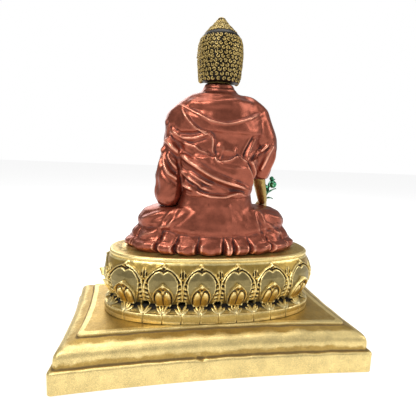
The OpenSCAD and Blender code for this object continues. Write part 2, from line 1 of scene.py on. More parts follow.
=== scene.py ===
import math
import random
from math import cos, pi, radians, sin

import bmesh
import bpy
import numpy as np
from mathutils import Matrix, Vector
from mathutils.bvhtree import BVHTree


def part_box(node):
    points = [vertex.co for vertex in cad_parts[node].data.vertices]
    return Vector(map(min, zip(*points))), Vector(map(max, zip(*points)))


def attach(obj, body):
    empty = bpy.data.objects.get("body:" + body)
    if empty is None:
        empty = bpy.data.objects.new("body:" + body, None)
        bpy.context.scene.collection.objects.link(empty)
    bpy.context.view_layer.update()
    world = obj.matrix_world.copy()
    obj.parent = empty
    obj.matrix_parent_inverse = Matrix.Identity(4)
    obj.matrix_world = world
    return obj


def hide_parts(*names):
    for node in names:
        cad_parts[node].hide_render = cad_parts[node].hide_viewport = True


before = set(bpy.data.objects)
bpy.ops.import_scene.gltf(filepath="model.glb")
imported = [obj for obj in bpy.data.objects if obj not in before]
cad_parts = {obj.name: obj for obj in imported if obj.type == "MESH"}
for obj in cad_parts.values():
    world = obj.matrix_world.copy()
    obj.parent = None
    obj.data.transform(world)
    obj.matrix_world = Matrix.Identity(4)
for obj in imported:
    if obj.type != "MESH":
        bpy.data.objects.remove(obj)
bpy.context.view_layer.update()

MM = 0.001
low, high = (Vector(corner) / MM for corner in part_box("plinth"))

# --- Viewpoint and studio -------------------------------------------------------------------
# The statue is seen from behind and a little above, as it stands on a shelf at eye height.
# Soft boxes light it from the upper left, from the right and from above, on a pale sweep.
EYE = Vector((49.2, 243.0, 137.8)) * MM
YAW, PITCH, ROLL = 0.1864, 0.1568, 0.0449
LENS_MM = 30.55

forward = Vector((-sin(YAW) * cos(PITCH), -cos(YAW) * cos(PITCH), -sin(PITCH)))
level_right = Vector((-cos(YAW), sin(YAW), 0))
level_up = level_right.cross(forward)
right = cos(ROLL) * level_right + sin(ROLL) * level_up
upward = cos(ROLL) * level_up - sin(ROLL) * level_right
camera_data = bpy.data.cameras.new("camera")
camera_data.sensor_width = 36
camera_data.lens = LENS_MM
camera_data.clip_start = 0.01
camera = bpy.data.objects.new("camera", camera_data)
camera.matrix_world = Matrix.Translation(EYE) @ Matrix((right, upward, -forward)).transposed().to_4x4()
bpy.context.scene.collection.objects.link(camera)
bpy.context.scene.camera = camera
bpy.context.scene.view_settings.view_transform = "Standard"

FLOOR_HALF = 3.0
bm = bmesh.new()
bmesh.ops.create_grid(bm, x_segments=1, y_segments=1, size=FLOOR_HALF)
floor_mesh = bpy.data.meshes.new("floor")
bm.to_mesh(floor_mesh)
bm.free()
floor = bpy.data.objects.new("floor", floor_mesh)
bpy.context.scene.collection.objects.link(floor)
floor_paint = bpy.data.materials.new("pale_floor")
floor_paint.use_nodes = True
floor_shader = floor_paint.node_tree.nodes["Principled BSDF"]
floor_shader.inputs["Base Color"].default_value = (0.4, 0.4, 0.4, 1)
floor_shader.inputs["Roughness"].default_value = 0.9
floor_shader.inputs["Emission Color"].default_value = (1, 1, 1, 1)
floor_shader.inputs["Emission Strength"].default_value = 0.8
floor_mesh.materials.append(floor_paint)

world = bpy.data.worlds.new("studio")
world.use_nodes = True
sky = world.node_tree.nodes["Background"]
sky.inputs["Color"].default_value = (1, 1, 1, 1)
seen = world.node_tree.nodes.new("ShaderNodeLightPath").outputs["Is Camera Ray"]
level = world.node_tree.nodes.new("ShaderNodeMapRange")
level.inputs["To Min"].default_value = 0.3
level.inputs["To Max"].default_value = 1.0
world.node_tree.links.new(seen, level.inputs["Value"])
world.node_tree.links.new(level.outputs["Result"], sky.inputs["Strength"])
bpy.context.scene.world = world


def soft_box(name, place, size, power, target=(0, 0, 0.1)):
    """A square soft box in metres that faces the statue."""
    data = bpy.data.lights.new(name, "AREA")
    data.size = size
    data.energy = power
    light = bpy.data.objects.new(name, data)
    light.location = place
    light.rotation_euler = (Vector(target) - Vector(place)).to_track_quat("-Z", "Y").to_euler()
    bpy.context.scene.collection.objects.link(light)


soft_box("key", (0.45, 0.55, 0.75), 0.35, 5.0)
soft_box("side", (-0.75, 0.35, 0.45), 0.4, 2.0)
soft_box("top", (0.0, -0.1, 0.95), 0.6, 4.0)
soft_box("front", (0.2, -0.8, 0.5), 0.6, 3.0)


# --- Plinth ---------------------------------------------------------------------------------
# A hollow resin casting with a square-edged slab, a quarter-round moulding and a raised panel.
# All four sides curve in. It is sprayed satin gold, over edges that the mould left a bit wavy.
PLINTH_HALF = (high[0], high[1])
PLINTH_TOP = high[2]
RIM_Z = low[2]
LONG_SAG, SHORT_SAG = 3.8, 2.0
CORNER_R = 2.5
LONG_STEPS, SHORT_STEPS, CORNER_STEPS = 96, 56, 10


def plinth_outline(inset):
    """Points round the plinth at an inset from its slab, anticlockwise from the +X side."""
    hx, hy = PLINTH_HALF[0] - inset, PLINTH_HALF[1] - inset
    points = []
    for quarter in range(4):
        along, across = (hx, hy) if quarter % 2 else (hy, hx)
        sag = LONG_SAG if quarter % 2 else SHORT_SAG
        steps = LONG_STEPS if quarter % 2 else SHORT_STEPS
        straight = along - CORNER_R
        turn = Matrix.Rotation(quarter * pi / 2, 2)
        side = [(across - sag * (1 - u * u), u * straight) for u in np.linspace(-1, 1, steps + 1)]
        arc = [
            (across - CORNER_R + CORNER_R * cos(a), straight + CORNER_R * sin(a))
            for a in np.linspace(0, pi / 2, CORNER_STEPS + 1)[1:-1]
        ]
        points += [turn @ Vector(p) for p in side + arc]
    return points


def put_corners(face, outline, z):
    """Moves a face's corners on to an outline at height z, in millimetres."""
    for loop, point in zip(face.loops, outline):
        loop.vert.co = (point[0] * MM, point[1] * MM, z * MM)


def start_block(bm, outline, z0, z1):
    """A block between two heights. Returns its lower and upper faces."""
    bmesh.ops.create_circle(bm, segments=len(outline), radius=1, cap_ends=True)
    under = bm.faces[:][-1]
    put_corners(under, outline, z0)
    over = [g for g in bmesh.ops.extrude_face_region(bm, geom=[under])["geom"]
            if isinstance(g, bmesh.types.BMFace)][0]
    put_corners(over, outline, z1)
    return under, over


def next_ring(bm, face, outline, z):
    """Extrudes the end face of a block on to another outline and height."""
    made = bmesh.ops.extrude_discrete_faces(bm, faces=[face])["faces"][0]
    put_corners(made, outline, z)
    return made


def read_points(mesh):
    points = np.empty(len(mesh.vertices) * 3)
    mesh.vertices.foreach_get("co", points)
    return points.reshape(-1, 3) / MM


def write_points(mesh, points):
    mesh.vertices.foreach_set("co", (points * MM).ravel())
    mesh.update()


def read_normals(mesh):
    normals = np.empty(len(mesh.vertices) * 3)
    mesh.vertex_normals.foreach_get("vector", normals)
    return normals.reshape(-1, 3)


def waves(points, length, seed, count=9):
    """A smooth random field, about -1 to 1, that changes over the given length in millimetres."""
    rng = np.random.default_rng(seed)
    ways = rng.normal(size=(count, 3))
    ways /= np.linalg.norm(ways, axis=1)[:, None]
    rates = 2 * pi / (length * rng.uniform(0.7, 1.5, count))
    turns = rng.uniform(0, 2 * pi, count)
    return np.sin(points @ (ways * rates[:, None]).T + turns).sum(1) * (1.6 / count)


def blur(mesh, values, rounds):
    """Averages a value or a vector at each point with its neighbours."""
    edges = np.empty(len(mesh.edges) * 2, dtype=np.int64)
    mesh.edges.foreach_get("vertices", edges)
    a, b = edges[::2], edges[1::2]
    n = len(mesh.vertices)
    ends, others = np.concatenate([a, b]), np.concatenate([b, a])
    share = 1 / np.maximum(np.bincount(ends, minlength=n), 1)
    values = values.reshape(n, -1).copy()
    for _ in range(rounds):
        around = [np.bincount(ends, values[others, k], n) * share for k in range(values.shape[1])]
        values = 0.5 * values + 0.5 * np.stack(around, 1)
    return values


def mark_hollows(mesh, fine=6, broad=30, more=0.0):
    """Stores how deep each point lies in a recess: above zero in a hollow, below on an edge."""
    points, normals = read_points(mesh), read_normals(mesh)
    soft = blur(mesh, points, fine)
    softer = blur(mesh, soft, broad)
    depth = ((soft - points) * normals).sum(1) * 3 + ((softer - points) * normals).sum(1) + more
    layer = mesh.attributes.new("hollow", "FLOAT", "POINT")
    layer.data.foreach_set("value", depth.astype(np.float32))


def make_piece(name, mesh, paint, replaced=(), sharp=40):
    """Puts a finished mesh in the scene, smooth but for its sharp edges, riding on the statue."""
    bm = bmesh.new()
    bm.from_mesh(mesh)
    bmesh.ops.recalc_face_normals(bm, faces=bm.faces)
    for face in bm.faces:
        face.smooth = True
    for edge in bm.edges:
        edge.smooth = not edge.is_manifold or edge.calc_face_angle(0) < radians(sharp)
    bm.to_mesh(mesh)
    bm.free()
    mesh.materials.clear()
    mesh.materials.append(paint)
    piece = bpy.data.objects.new(name, mesh)
    bpy.context.scene.collection.objects.link(piece)
    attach(piece, "root")
    if replaced:
        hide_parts(*replaced)
    return piece


def to_mesh(name, bm):
    mesh = bpy.data.meshes.new(name)
    bm.to_mesh(mesh)
    bm.free()
    return mesh


def new_group(name, values, results):
    """An empty shader group with its named inputs and outputs."""
    group = bpy.data.node_groups.new(name, "ShaderNodeTree")
    for label, kind, default in values:
        socket = group.interface.new_socket(label, in_out="INPUT", socket_type=kind)
        socket.default_value = default
    for label, kind in results:
        group.interface.new_socket(label, in_out="OUTPUT", socket_type=kind)
    return group, group.nodes.new("NodeGroupInput"), group.nodes.new("NodeGroupOutput")


def math_node(tree, kind, a, b=None):
    node = tree.nodes.new("ShaderNodeMath")
    node.operation = kind
    for socket, value in zip(node.inputs, (a, b)):
        if value is None:
            continue
        if isinstance(value, bpy.types.NodeSocket):
            tree.links.new(value, socket)
        else:
            socket.default_value = value
    return node.outputs[0]


def ramp_node(tree, value, start, end, to_start=0.0, to_end=1.0):
    """A smooth step of a value between two others."""
    node = tree.nodes.new("ShaderNodeMapRange")
    node.interpolation_type = "SMOOTHSTEP"
    tree.links.new(value, node.inputs["Value"])
    for label, number in (("From Min", start), ("From Max", end), ("To Min", to_start), ("To Max", to_end)):
        node.inputs[label].default_value = number
    return node.outputs["Result"]


def mix_node(tree, share, a, b):
    node = tree.nodes.new("ShaderNodeMix")
    node.data_type = "RGBA"
    for socket, value in ((node.inputs[0], share), (node.inputs[6], a), (node.inputs[7], b)):
        if isinstance(value, bpy.types.NodeSocket):
            tree.links.new(value, socket)
        else:
            socket.default_value = value
    return node.outputs[2]


def noise_node(tree, scale, detail, coords, roughness=0.5):
    node = tree.nodes.new("ShaderNodeTexNoise")
    node.inputs["Scale"].default_value = scale
    node.inputs["Detail"].default_value = detail
    node.inputs["Roughness"].default_value = roughness
    tree.links.new(coords, node.inputs["Vector"])
    return node.outputs["Fac"]


# The effect that every painted piece shares: metallic lacquer with flakes, bright on what stands
# out and dark in the hollows. The bright is partly real rubbing and partly painted highlight, and
# the dark is partly a real wash and partly painted shade.
FLAKE_SCALE, CLOUD_SCALE = 2600.0, 90.0
lacquer, given, result = new_group(
    "metallic_lacquer",
    [("Paint", "NodeSocketColor", (0.5, 0.35, 0.1, 1)), ("Rubbed Highlight", "NodeSocketColor", (0.9, 0.7, 0.3, 1)),
     ("Wash And Shade", "NodeSocketColor", (0.02, 0.015, 0.01, 1)), ("Hollow", "NodeSocketFloat", 0.0),
     ("Wash Depth", "NodeSocketFloat", 0.5), ("Rub And Highlight Height", "NodeSocketFloat", 0.5),
     ("Gloss", "NodeSocketFloat", 0.35), ("Flakes", "NodeSocketFloat", 0.5)],
    [("Color", "NodeSocketColor"), ("Roughness", "NodeSocketFloat"), ("Shine", "NodeSocketFloat"),
     ("Height", "NodeSocketFloat")])
coords = lacquer.nodes.new("ShaderNodeTexCoord").outputs["Object"]
flakes = noise_node(lacquer, FLAKE_SCALE, 2, coords)
clouds = noise_node(lacquer, CLOUD_SCALE, 4, coords, 0.6)
grime = noise_node(lacquer, 420.0, 5, coords, 0.7)
uneven = math_node(lacquer, "MULTIPLY", math_node(lacquer, "SUBTRACT", grime, 0.5), 0.5)
depth = math_node(lacquer, "ADD", given.outputs["Hollow"], uneven)
# Hollows take the dark colour: partly the real wash, partly painted shade.
washed_and_shaded = ramp_node(lacquer, math_node(lacquer, "DIVIDE", depth, given.outputs["Wash Depth"]), 0.15, 1.0)
raised = math_node(lacquer, "DIVIDE", math_node(lacquer, "MULTIPLY", depth, -1.0),
                   given.outputs["Rub And Highlight Height"])
# Raised parts take the bright colour: partly real rubbing, partly painted highlight.
rubbed_highlight = ramp_node(lacquer, raised, 0.2, 1.2)
sparkle = ramp_node(lacquer, flakes, 0.35, 0.75, -0.5, 0.5)
shade = math_node(lacquer, "MULTIPLY", sparkle, given.outputs["Flakes"])
shade = math_node(lacquer, "ADD", shade, ramp_node(lacquer, clouds, 0.3, 0.7, 0.88, 1.1))
bright = lacquer.nodes.new("ShaderNodeVectorMath")
bright.operation = "SCALE"
lacquer.links.new(mix_node(lacquer, rubbed_highlight, given.outputs["Paint"], given.outputs["Rubbed Highlight"]),
                  bright.inputs[0])
lacquer.links.new(shade, bright.inputs["Scale"])
lacquer.links.new(mix_node(lacquer, washed_and_shaded, bright.outputs[0], given.outputs["Wash And Shade"]),
                  result.inputs["Color"])
dull = math_node(lacquer, "MULTIPLY", washed_and_shaded, 0.35)
soft = math_node(lacquer, "ADD", given.outputs["Gloss"], ramp_node(lacquer, grime, 0.3, 0.7, -0.05, 0.09))
lacquer.links.new(math_node(lacquer, "ADD", soft, dull), result.inputs["Roughness"])
lacquer.links.new(ramp_node(lacquer, washed_and_shaded, 0.0, 1.0, 0.86, 0.1), result.inputs["Shine"])
lumps = math_node(lacquer, "ADD", math_node(lacquer, "MULTIPLY", flakes, 0.5), grime)
lacquer.links.new(lumps, result.inputs["Height"])


def lacquer_paint(name, paint, rubbed_highlight, wash_and_shade, wash_and_shade_depth, rub_and_highlight_height, gloss, flakes, bump=0.12, matt=None):
    """A material with the shared lacquer, in this piece's own colours."""
    material = bpy.data.materials.new(name)
    material.use_nodes = True
    tree = material.node_tree
    shader = tree.nodes["Principled BSDF"]
    effect = tree.nodes.new("ShaderNodeGroup")
    effect.node_tree = lacquer
    hollow = tree.nodes.new("ShaderNodeAttribute")
    hollow.attribute_name = "hollow"
    tree.links.new(hollow.outputs["Fac"], effect.inputs["Hollow"])
    for label, value in (("Paint", paint), ("Rubbed Highlight", rubbed_highlight), ("Wash And Shade", wash_and_shade)):
        effect.inputs[label].default_value = (*value, 1)
    for label, value in (("Wash Depth", wash_and_shade_depth), ("Rub And Highlight Height", rub_and_highlight_height), ("Gloss", gloss),
                         ("Flakes", flakes)):
        effect.inputs[label].default_value = value
    if matt:
        share = tree.nodes.new("ShaderNodeAttribute")
        share.attribute_name = "matt"
        tree.links.new(mix_node(tree, share.outputs["Fac"], (*paint, 1), (*matt, 1)), effect.inputs["Paint"])
    bumps = tree.nodes.new("ShaderNodeBump")
    bumps.inputs["Strength"].default_value = bump
    bumps.inputs["Distance"].default_value = 0.0003
    tree.links.new(effect.outputs["Height"], bumps.inputs["Height"])
    tree.links.new(bumps.outputs["Normal"], shader.inputs["Normal"])
    tree.links.new(effect.outputs["Color"], shader.inputs["Base Color"])
    tree.links.new(effect.outputs["Roughness"], shader.inputs["Roughness"])
    tree.links.new(effect.outputs["Shine"], shader.inputs["Metallic"])
    return material


satin_gold = lacquer_paint(
    "satin_gold", paint=(0.47, 0.31, 0.085), rubbed_highlight=(0.85, 0.66, 0.28), wash_and_shade=(0.16, 0.1, 0.03),
    wash_and_shade_depth=0.9, rub_and_highlight_height=0.35, gloss=0.42, flakes=0.45)

# Each level of the plinth's side: how far in from the slab's edge, and its height.
SLAB_TOP = 14.0
PROFILE = [(0.25, RIM_Z), (0, RIM_Z + 0.3), (0, 4), (0, 9), (0, 12.6), (0.15, 13.3), (0.6, 13.9),
           (1.3, 14.2), (2.3, 14.4), (2.6, 14.9), (2.6, 16), (2.65, 18), (2.8, 20.2), (3.2, 21.7),
           (4, 23.1), (5.2, 24.3), (6.8, 25.2), (8.5, 25.7), (10.5, 26.2), (12.6, 26.7), (13.9, 27),
           (14.1, 27.4), (14.15, 28.2), (14.3, 28.7), (14.8, 29)]
TOP_PANEL_STEPS = (18, 26, 36)
FELT_RIM, FELT_DEPTH, WALL, ROOF_Z = 2.5, 1.0, 6.0, 23.0

bm = bmesh.new()
under, over = start_block(bm, plinth_outline(PROFILE[0][0]), PROFILE[0][1], PROFILE[1][1])
put_corners(over, plinth_outline(0), PROFILE[1][1])
for inset, z in PROFILE[2:]:
    over = next_ring(bm, over, plinth_outline(inset), z)
for inset in TOP_PANEL_STEPS:
    over = next_ring(bm, over, plinth_outline(inset), PLINTH_TOP)
for inset, z in ((FELT_RIM, RIM_Z), (FELT_RIM, RIM_Z + FELT_DEPTH), (WALL, RIM_Z + FELT_DEPTH),
                 (WALL, SLAB_TOP - 1), (2 * WALL, SLAB_TOP - 1), (2 * WALL, ROOF_Z)):
    under = next_ring(bm, under, plinth_outline(inset), z)
plinth_mesh = to_mesh("plinth_shell", bm)
points = read_points(plinth_mesh)
edge_share = np.clip((points[:, 2] - 2) / 8, 0, 1) * (points[:, 2] < PLINTH_TOP + 0.5)
points[:, 2] += 0.22 * waves(points, 17, 3) * edge_share * (points[:, 2] < PLINTH_TOP - 0.2)
points[:, 1] += 0.16 * waves(points, 11, 4) * edge_share
points[:, 2] -= 0.05
# A nick in the back edge of the slab.
nick = np.exp(-((points[:, 0] - 13) / 1.1) ** 2 - ((points[:, 2] - 14) / 1.2) ** 2) * (points[:, 1] > 0)
points[:, 2] -= 1.0 * nick * (points[:, 2] > 12.5)
points[:, 1] -= 1.2 * nick
write_points(plinth_mesh, points)
make_piece("plinth_shell", plinth_mesh, satin_gold, ["plinth"], sharp=32)
mark_hollows(plinth_mesh, 2, 8)

# --- Throne ---------------------------------------------------------------------------------
# A resin drum with fourteen large petals glued round it, a ring of petal points behind them and
# a blind hole between each pair. One skin stands for all three, as the gilding hides the joints.
# The gilding has black wiped into it. The foot of the wall under the petals' bulge, and the
# groove under the seat board, are painted darker as shade.
DRUM_HALF = (67.0, 29.0)
SQUARENESS = 2.5
PETALS = 14
FOOT_TOP, SEAT_UNDER = (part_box("throne_drum")[k][2] / MM for k in (0, 1))
HOLE_Z, HOLE_R, HOLE_DEPTH = 40.2, 2.15, 5.0

turn = np.linspace(0, 2 * pi, 7201)[:-1]
rough = np.stack([-np.sign(np.sin(turn)) * DRUM_HALF[0] * abs(np.sin(turn)) ** (2 / SQUARENESS),
                  np.sign(np.cos(turn)) * DRUM_HALF[1] * abs(np.cos(turn)) ** (2 / SQUARENESS)], 1)
run = np.concatenate([[0], np.cumsum(np.linalg.norm(np.diff(rough, axis=0, append=rough[:1]), axis=1))])
AROUND = run[-1]
PITCH = AROUND / PETALS
way = np.roll(rough, -12, 0) - np.roll(rough, 12, 0)
way /= np.linalg.norm(way, axis=1)[:, None]
drum_table = np.concatenate([rough, np.stack([way[:, 1], -way[:, 0]], 1)], 1)
drum_table = np.concatenate([drum_table, drum_table[:1]])


def on_drum(along, out, z):
    """Points at a distance along the drum's wall from the back, out from it, and at height z."""
    x, y, nx, ny = (np.interp(along % AROUND, run, drum_table[:, k]) for k in range(4))
    return np.stack([x + nx * out, y + ny * out, z + 0 * x], -1)


def line_distance(u, z, line):
    """The distance from each point to a line of points."""
    best = np.full(np.shape(u), 1e9)
    for (ax, ay), (bx, by) in zip(line[:-1], line[1:]):
        share = np.clip(((u - ax) * (bx - ax) + (z - ay) * (by - ay)) / ((bx - ax) ** 2 + (by - ay) ** 2), 0,
                        1)
        best = np.minimum(best, np.hypot(u - ax - share * (bx - ax), z - ay - share * (by - ay)))
    return best


def bump(distance, width):
    return np.exp(-(distance / width) ** 2)


def step(value, start, end):
    share = np.clip((value - start) / (end - start), 0, 1)
    return share * share * (3 - 2 * share)


def grid_mesh(name, across, up, wrap_across=False, wrap_up=False):
    """A sheet of faces, joined into a tube or a ring where asked. Returns it with its shares."""
    bm = bmesh.new()
    bmesh.ops.create_grid(bm, x_segments=across, y_segments=up, size=0.5)
    shares = np.array([v.co[:2] for v in bm.verts]) + 0.5
    same = {}
    keep = {}
    for vert, (u, v) in zip(bm.verts, shares):
        spot = (round(u * across) % (across if wrap_across else across + 1),
                round(v * up) % (up if wrap_up else up + 1))
        if spot in keep:
            same[vert] = keep[spot]
        else:
            keep[spot] = vert
    bmesh.ops.weld_verts(bm, targetmap=same)
    shares = np.array([v.co[:2] for v in bm.verts]) + 0.5
    return to_mesh(name, bm), shares[:, 0], shares[:, 1]


# How far the wall's plain surface stands out at each height, and the lines carved on a petal,
# as half its width and height.
BULGE = [(35.5, 0), (38, 0), (40, 0.9), (42.5, 2.4), (46, 4.5), (50, 6.3), (54, 7), (58, 6.7), (62, 5.7),
         (66, 4.3), (69, 3)]
RIM = [(0, 67), (1.1, 65.8), (2.8, 65), (5, 63.7), (7.2, 61.8), (9.1, 59.6), (10.6, 57.4), (11.3, 54),
       (11.45, 43)]
SCALLOP = [(0, 61.9), (1, 62.7), (2.6, 63.4), (4.8, 62.5), (6.9, 60.3), (8.6, 57.4), (8.9, 54)]
PANEL_SIDE = [(40, 5.8), (46, 7.4), (50, 8.4), (54, 8.9)]
COLUMNS, ROWS = PETALS * 66, 86


def wall_relief(along, z):
    """How far the wall stands out at each place, and how much of it is matt panel."""
    beside = abs((along % PITCH) - PITCH / 2)
    gap = PITCH / 2 - beside
    lower = step(z, 40.5, 43.5)
    out = np.interp(z, *zip(*BULGE))
    to_rim = line_distance(beside, z, RIM)
    to_panel = line_distance(beside, z, SCALLOP + [(p, q) for q, p in PANEL_SIDE[-2::-1]])
    rim_edge = np.interp(z, *zip(*[(q, p) for p, q in RIM[::-1]]), right=-1)
    in_rim = step(rim_edge - beside, -0.4, 0.5)
    in_panel = (step(np.interp(beside, *zip(*SCALLOP), right=0) - z, -0.3, 0.4)
                * step(np.interp(z, *zip(*PANEL_SIDE)) - beside, -0.3, 0.5))
    out += 0.4 * in_rim * lower + 1.15 * bump(to_rim, 0.6) * lower
    out -= 1.3 * bump(to_panel - 0.7, 0.5) * in_rim * (1 - in_panel) * step(z, 54, 58)
    out -= 0.5 * bump(to_panel - 0.4, 0.5) * (1 - in_panel) * step(z, 58, 54) * lower
    out += 0.4 * bump(to_panel, 0.42) * in_panel * lower
    out -= 1.9 * bump(np.hypot(beside, (z - 64.4) * 0.75), 0.62)
    out += 0.7 * bump(np.hypot(beside * 0.8, z - 66.6), 0.8)
    # The leaf marks beside the stalk between two petals, and the slits above it.
    for level in (44.8, 48, 51.2, 54.6):
        slant = (z - level) + 0.5 * (gap - 1.8)
        out -= 1.1 * bump(np.hypot((gap - 1.8) * 0.62, slant), 0.55)
        out += 0.6 * bump(np.hypot((gap - 2) * 0.5, slant - 1.5), 0.6)
    out -= 1.3 * bump(np.hypot(gap, (z - 57.2) * 0.8), 0.5)
    out -= 2.3 * bump(gap, 0.42) * step(z, 58.4, 59.2) * step(z, 64, 61.5)
    out -= 1.3 * bump(gap - 1.5, 0.4) * step(z, 59.6, 60.4) * step(z, 63, 61.5)
    out += 0.45 * bump(gap - 0.8, 0.4) * step(z, 59, 60) * step(z, 66, 62)
    out -= 0.9 * bump(z - 69.2, 0.5)
    # The hole, and its raised lip.
    hole = np.hypot(gap, z - HOLE_Z)
    out += 0.9 * bump(hole - HOLE_R - 0.5, 0.5) * step(z, 42, 40)
    out = out * (1 - step(hole, HOLE_R + 0.25, HOLE_R - 0.15))
    out -= HOLE_DEPTH * step(hole, HOLE_R + 0.25, HOLE_R - 0.15)
    return out, in_panel * lower


antique_gold = lacquer_paint(
    "antique_gold", paint=(0.44, 0.29, 0.07), rubbed_highlight=(0.95, 0.76, 0.33), wash_and_shade=(0.012, 0.009, 0.005),
    wash_and_shade_depth=0.75, rub_and_highlight_height=0.6, gloss=0.34, flakes=0.35, bump=0.2, matt=(0.27, 0.21, 0.085))

wall_mesh, u, v = grid_mesh("throne_wall", COLUMNS, ROWS + 2, True, True)
along = u * AROUND
row = np.rint(v * (ROWS + 2)) % (ROWS + 2)
z = FOOT_TOP + np.minimum(row, ROWS - 1) / (ROWS - 1) * (SEAT_UNDER - FOOT_TOP)
relief, matt = wall_relief(along, z)
inner = row >= ROWS
z = np.where(row == ROWS + 1, FOOT_TOP, z)
points = on_drum(along, np.where(inner, -WALL, relief), z)
points[~inner] += 0.10 * waves(points[~inner], 5, 11)[:, None] * np.array([1, 1, 0])
write_points(wall_mesh, points)
layer = wall_mesh.attributes.new("matt", "FLOAT", "POINT")
layer.data.foreach_set("value", matt.astype(np.float32))
make_piece("throne_wall", wall_mesh, antique_gold,
           ["throne_drum", "large_petals", "rear_petals"],
           sharp=60)
# Painted shade: the foot of the wall under the petals and the groove under the seat board get extra hollow
# depth, so they take the dark colour.
mark_hollows(wall_mesh, 5, 24, 1.2 * step(z, 41, 39) + 0.8 * bump(z - 69, 0.6))


# --- Small petals ---------------------------------------------------------------------------
# A short petal is glued over the foot of each large one. It has a raised lip, two smooth lobes
# and a curled tip. The small petals are a warmer gold than the wall.
SMALL_EDGE = [(39.2, 4.6), (41, 5.7), (44, 6.3), (47, 6.4), (50, 5.8), (52.3, 4.4), (54, 2.6), (55.2, 1.5),
              (56.2, 0.4)]
petal_gold = lacquer_paint(
    "petal_gold", paint=(0.46, 0.27, 0.045), rubbed_highlight=(0.95, 0.76, 0.33), wash_and_shade=(0.014, 0.01, 0.005),
    wash_and_shade_depth=0.7, rub_and_highlight_height=0.7, gloss=0.33, flakes=0.3, bump=0.2)

whole = bmesh.new()
for i in range(PETALS):
    mesh, u, v = grid_mesh("patch", 30, 36)
    z = 39.2 + 17.0 * v
    wide = np.interp(z, *zip(*SMALL_EDGE))
    beside = (2 * u - 1) * wide
    side = abs(beside)
    to_edge = line_distance(side, z, [(p, q) for q, p in SMALL_EDGE])
    lobe = ((side - 2.45) / 2.4) ** 2 + (np.maximum(z - 45, 0) / 5.6) ** 2
    out = np.interp(z, *zip(*BULGE)) + 1.1 + 0.9 * bump(to_edge - 0.35, 0.5)
    out += 1.5 * np.sqrt(np.clip(1 - lobe, 0, 1)) - 0.8 * bump(lobe - 1.3, 0.3) * (side > 1)
    out += 0.3 * bump(side, 0.3) * step(z, 52, 50)
    out -= 1.0 * bump(np.hypot(side - 0.2, z - 52.2), 0.6)
    out += 1.7 * bump(np.hypot(side, (z - 54.8) * 0.9), 1.25) + 0.6 * step(z, 51, 55)
    edge = np.minimum(np.minimum(u, 1 - u) * 30, np.minimum(v * 36, 99)) < 0.5
    out[edge] -= 0.5
    front = on_drum((i + 0.5) * PITCH + beside, out, z)
    write_points(mesh, front)
    bm = bmesh.new()
    bm.from_mesh(mesh)
    bpy.data.meshes.remove(mesh)
    made = bmesh.ops.extrude_face_region(bm, geom=bm.faces[:])["geom"]
    inward = on_drum(np.array([(i + 0.5) * PITCH]), -1.0, 0.0)[0] - on_drum(np.array([(i + 0.5) * PITCH]),
                                                                            0.0, 0.0)[0]
    bmesh.ops.translate(bm, verts=[g for g in made if isinstance(g, bmesh.types.BMVert)],
                        vec=Vector(inward) * 2.2 * MM)
    mesh = to_mesh("patch", bm)
    whole.from_mesh(mesh)
    bpy.data.meshes.remove(mesh)
small_mesh = to_mesh("small_petals", whole)
make_piece("small_petal_row", small_mesh, petal_gold, ["small_petals"], sharp=60)
mark_hollows(small_mesh, 4, 16)


# --- Star leaves ----------------------------------------------------------------------------
# Leaf stars with five rays stand round the foot of the wall, one under each petal and each
# hole. They are cast as a ring with its skirt and glued round the drum. The rays are bright near
# their foot, partly real rubbing and partly painted highlight, and rays and skirt are painted
# darker as they rise under the petals, as shade.
STARS = 2 * PETALS
RAYS = [(-62, 5.2), (-34, 5.0), (0, 4.4), (34, 5.0), (62, 5.2)]
RAY_HALF_W, RAY_HALF_T = 0.8, 0.8

bm = bmesh.new()
rng = random.Random(5)
for i in range(STARS):
    for lean, length in RAYS:
        length *= rng.uniform(0.9, 1.08) * (0.35 if i % 2 == 0 and lean == 0 else 1.0)
        tilt = radians(lean + rng.uniform(-5, 5))
        made = bmesh.ops.create_uvsphere(bm, u_segments=6, v_segments=6, radius=1)["verts"]
        local = np.array([v.co[:] for v in made])
        reach = (local[:, 2] + 1) / 2 * length
        across = local[:, 0] * RAY_HALF_W * (1.15 - 0.35 * local[:, 2])
        beside = reach * sin(tilt) + across * cos(tilt)
        height = FOOT_TOP + 0.25 + reach * cos(tilt) - across * sin(tilt)
        lift = np.interp(height, [FOOT_TOP, FOOT_TOP + 2, FOOT_TOP + 4.5, FOOT_TOP + 7],
                         [6.5, 3.6, 2.0, 1.2])
        made_at = on_drum(i * PITCH / 2 + beside, lift + local[:, 1] * RAY_HALF_T,
                          np.maximum(height, FOOT_TOP + 0.05))
        for vert, place in zip(made, made_at):
            vert.co = place * MM
# The skirt that they stand on.
mesh, u, v = grid_mesh("skirt", 16 * STARS, 8, True, True)
row = np.rint(v * 8) % 8
along = u * AROUND
spoke = abs((along / (PITCH / 2) + 0.5) % 1 - 0.5) * PITCH / 2
skirt_out = np.array([6.2, 5.6, 4.4, 3.0, 1.9, 1.0, -1, -1])[row.astype(int)]
skirt_z = FOOT_TOP + np.array([0, 0.5, 1.1, 1.9, 2.7, 3.6, 3.6, 0])[row.astype(int)]
skirt_out = skirt_out - 1.3 * step(spoke, 1.5, 5) * (row < 5)
write_points(mesh, on_drum(along, skirt_out, skirt_z))
bm.from_mesh(mesh)
bpy.data.meshes.remove(mesh)
star_mesh = to_mesh("star_leaves", bm)
star_gold = lacquer_paint(
    "star_gold", paint=(0.6, 0.44, 0.15), rubbed_highlight=(0.98, 0.84, 0.45), wash_and_shade=(0.012, 0.009, 0.005),
    wash_and_shade_depth=0.5, rub_and_highlight_height=0.5, gloss=0.36, flakes=0.3, bump=0.2)
make_piece("star_leaves", star_mesh, star_gold, ["fringe_leaves"], sharp=60)
points = read_points(star_mesh)
height = points[:, 2] - FOOT_TOP
beside = np.array([abs(p) for p in read_normals(star_mesh)[:, 2]])
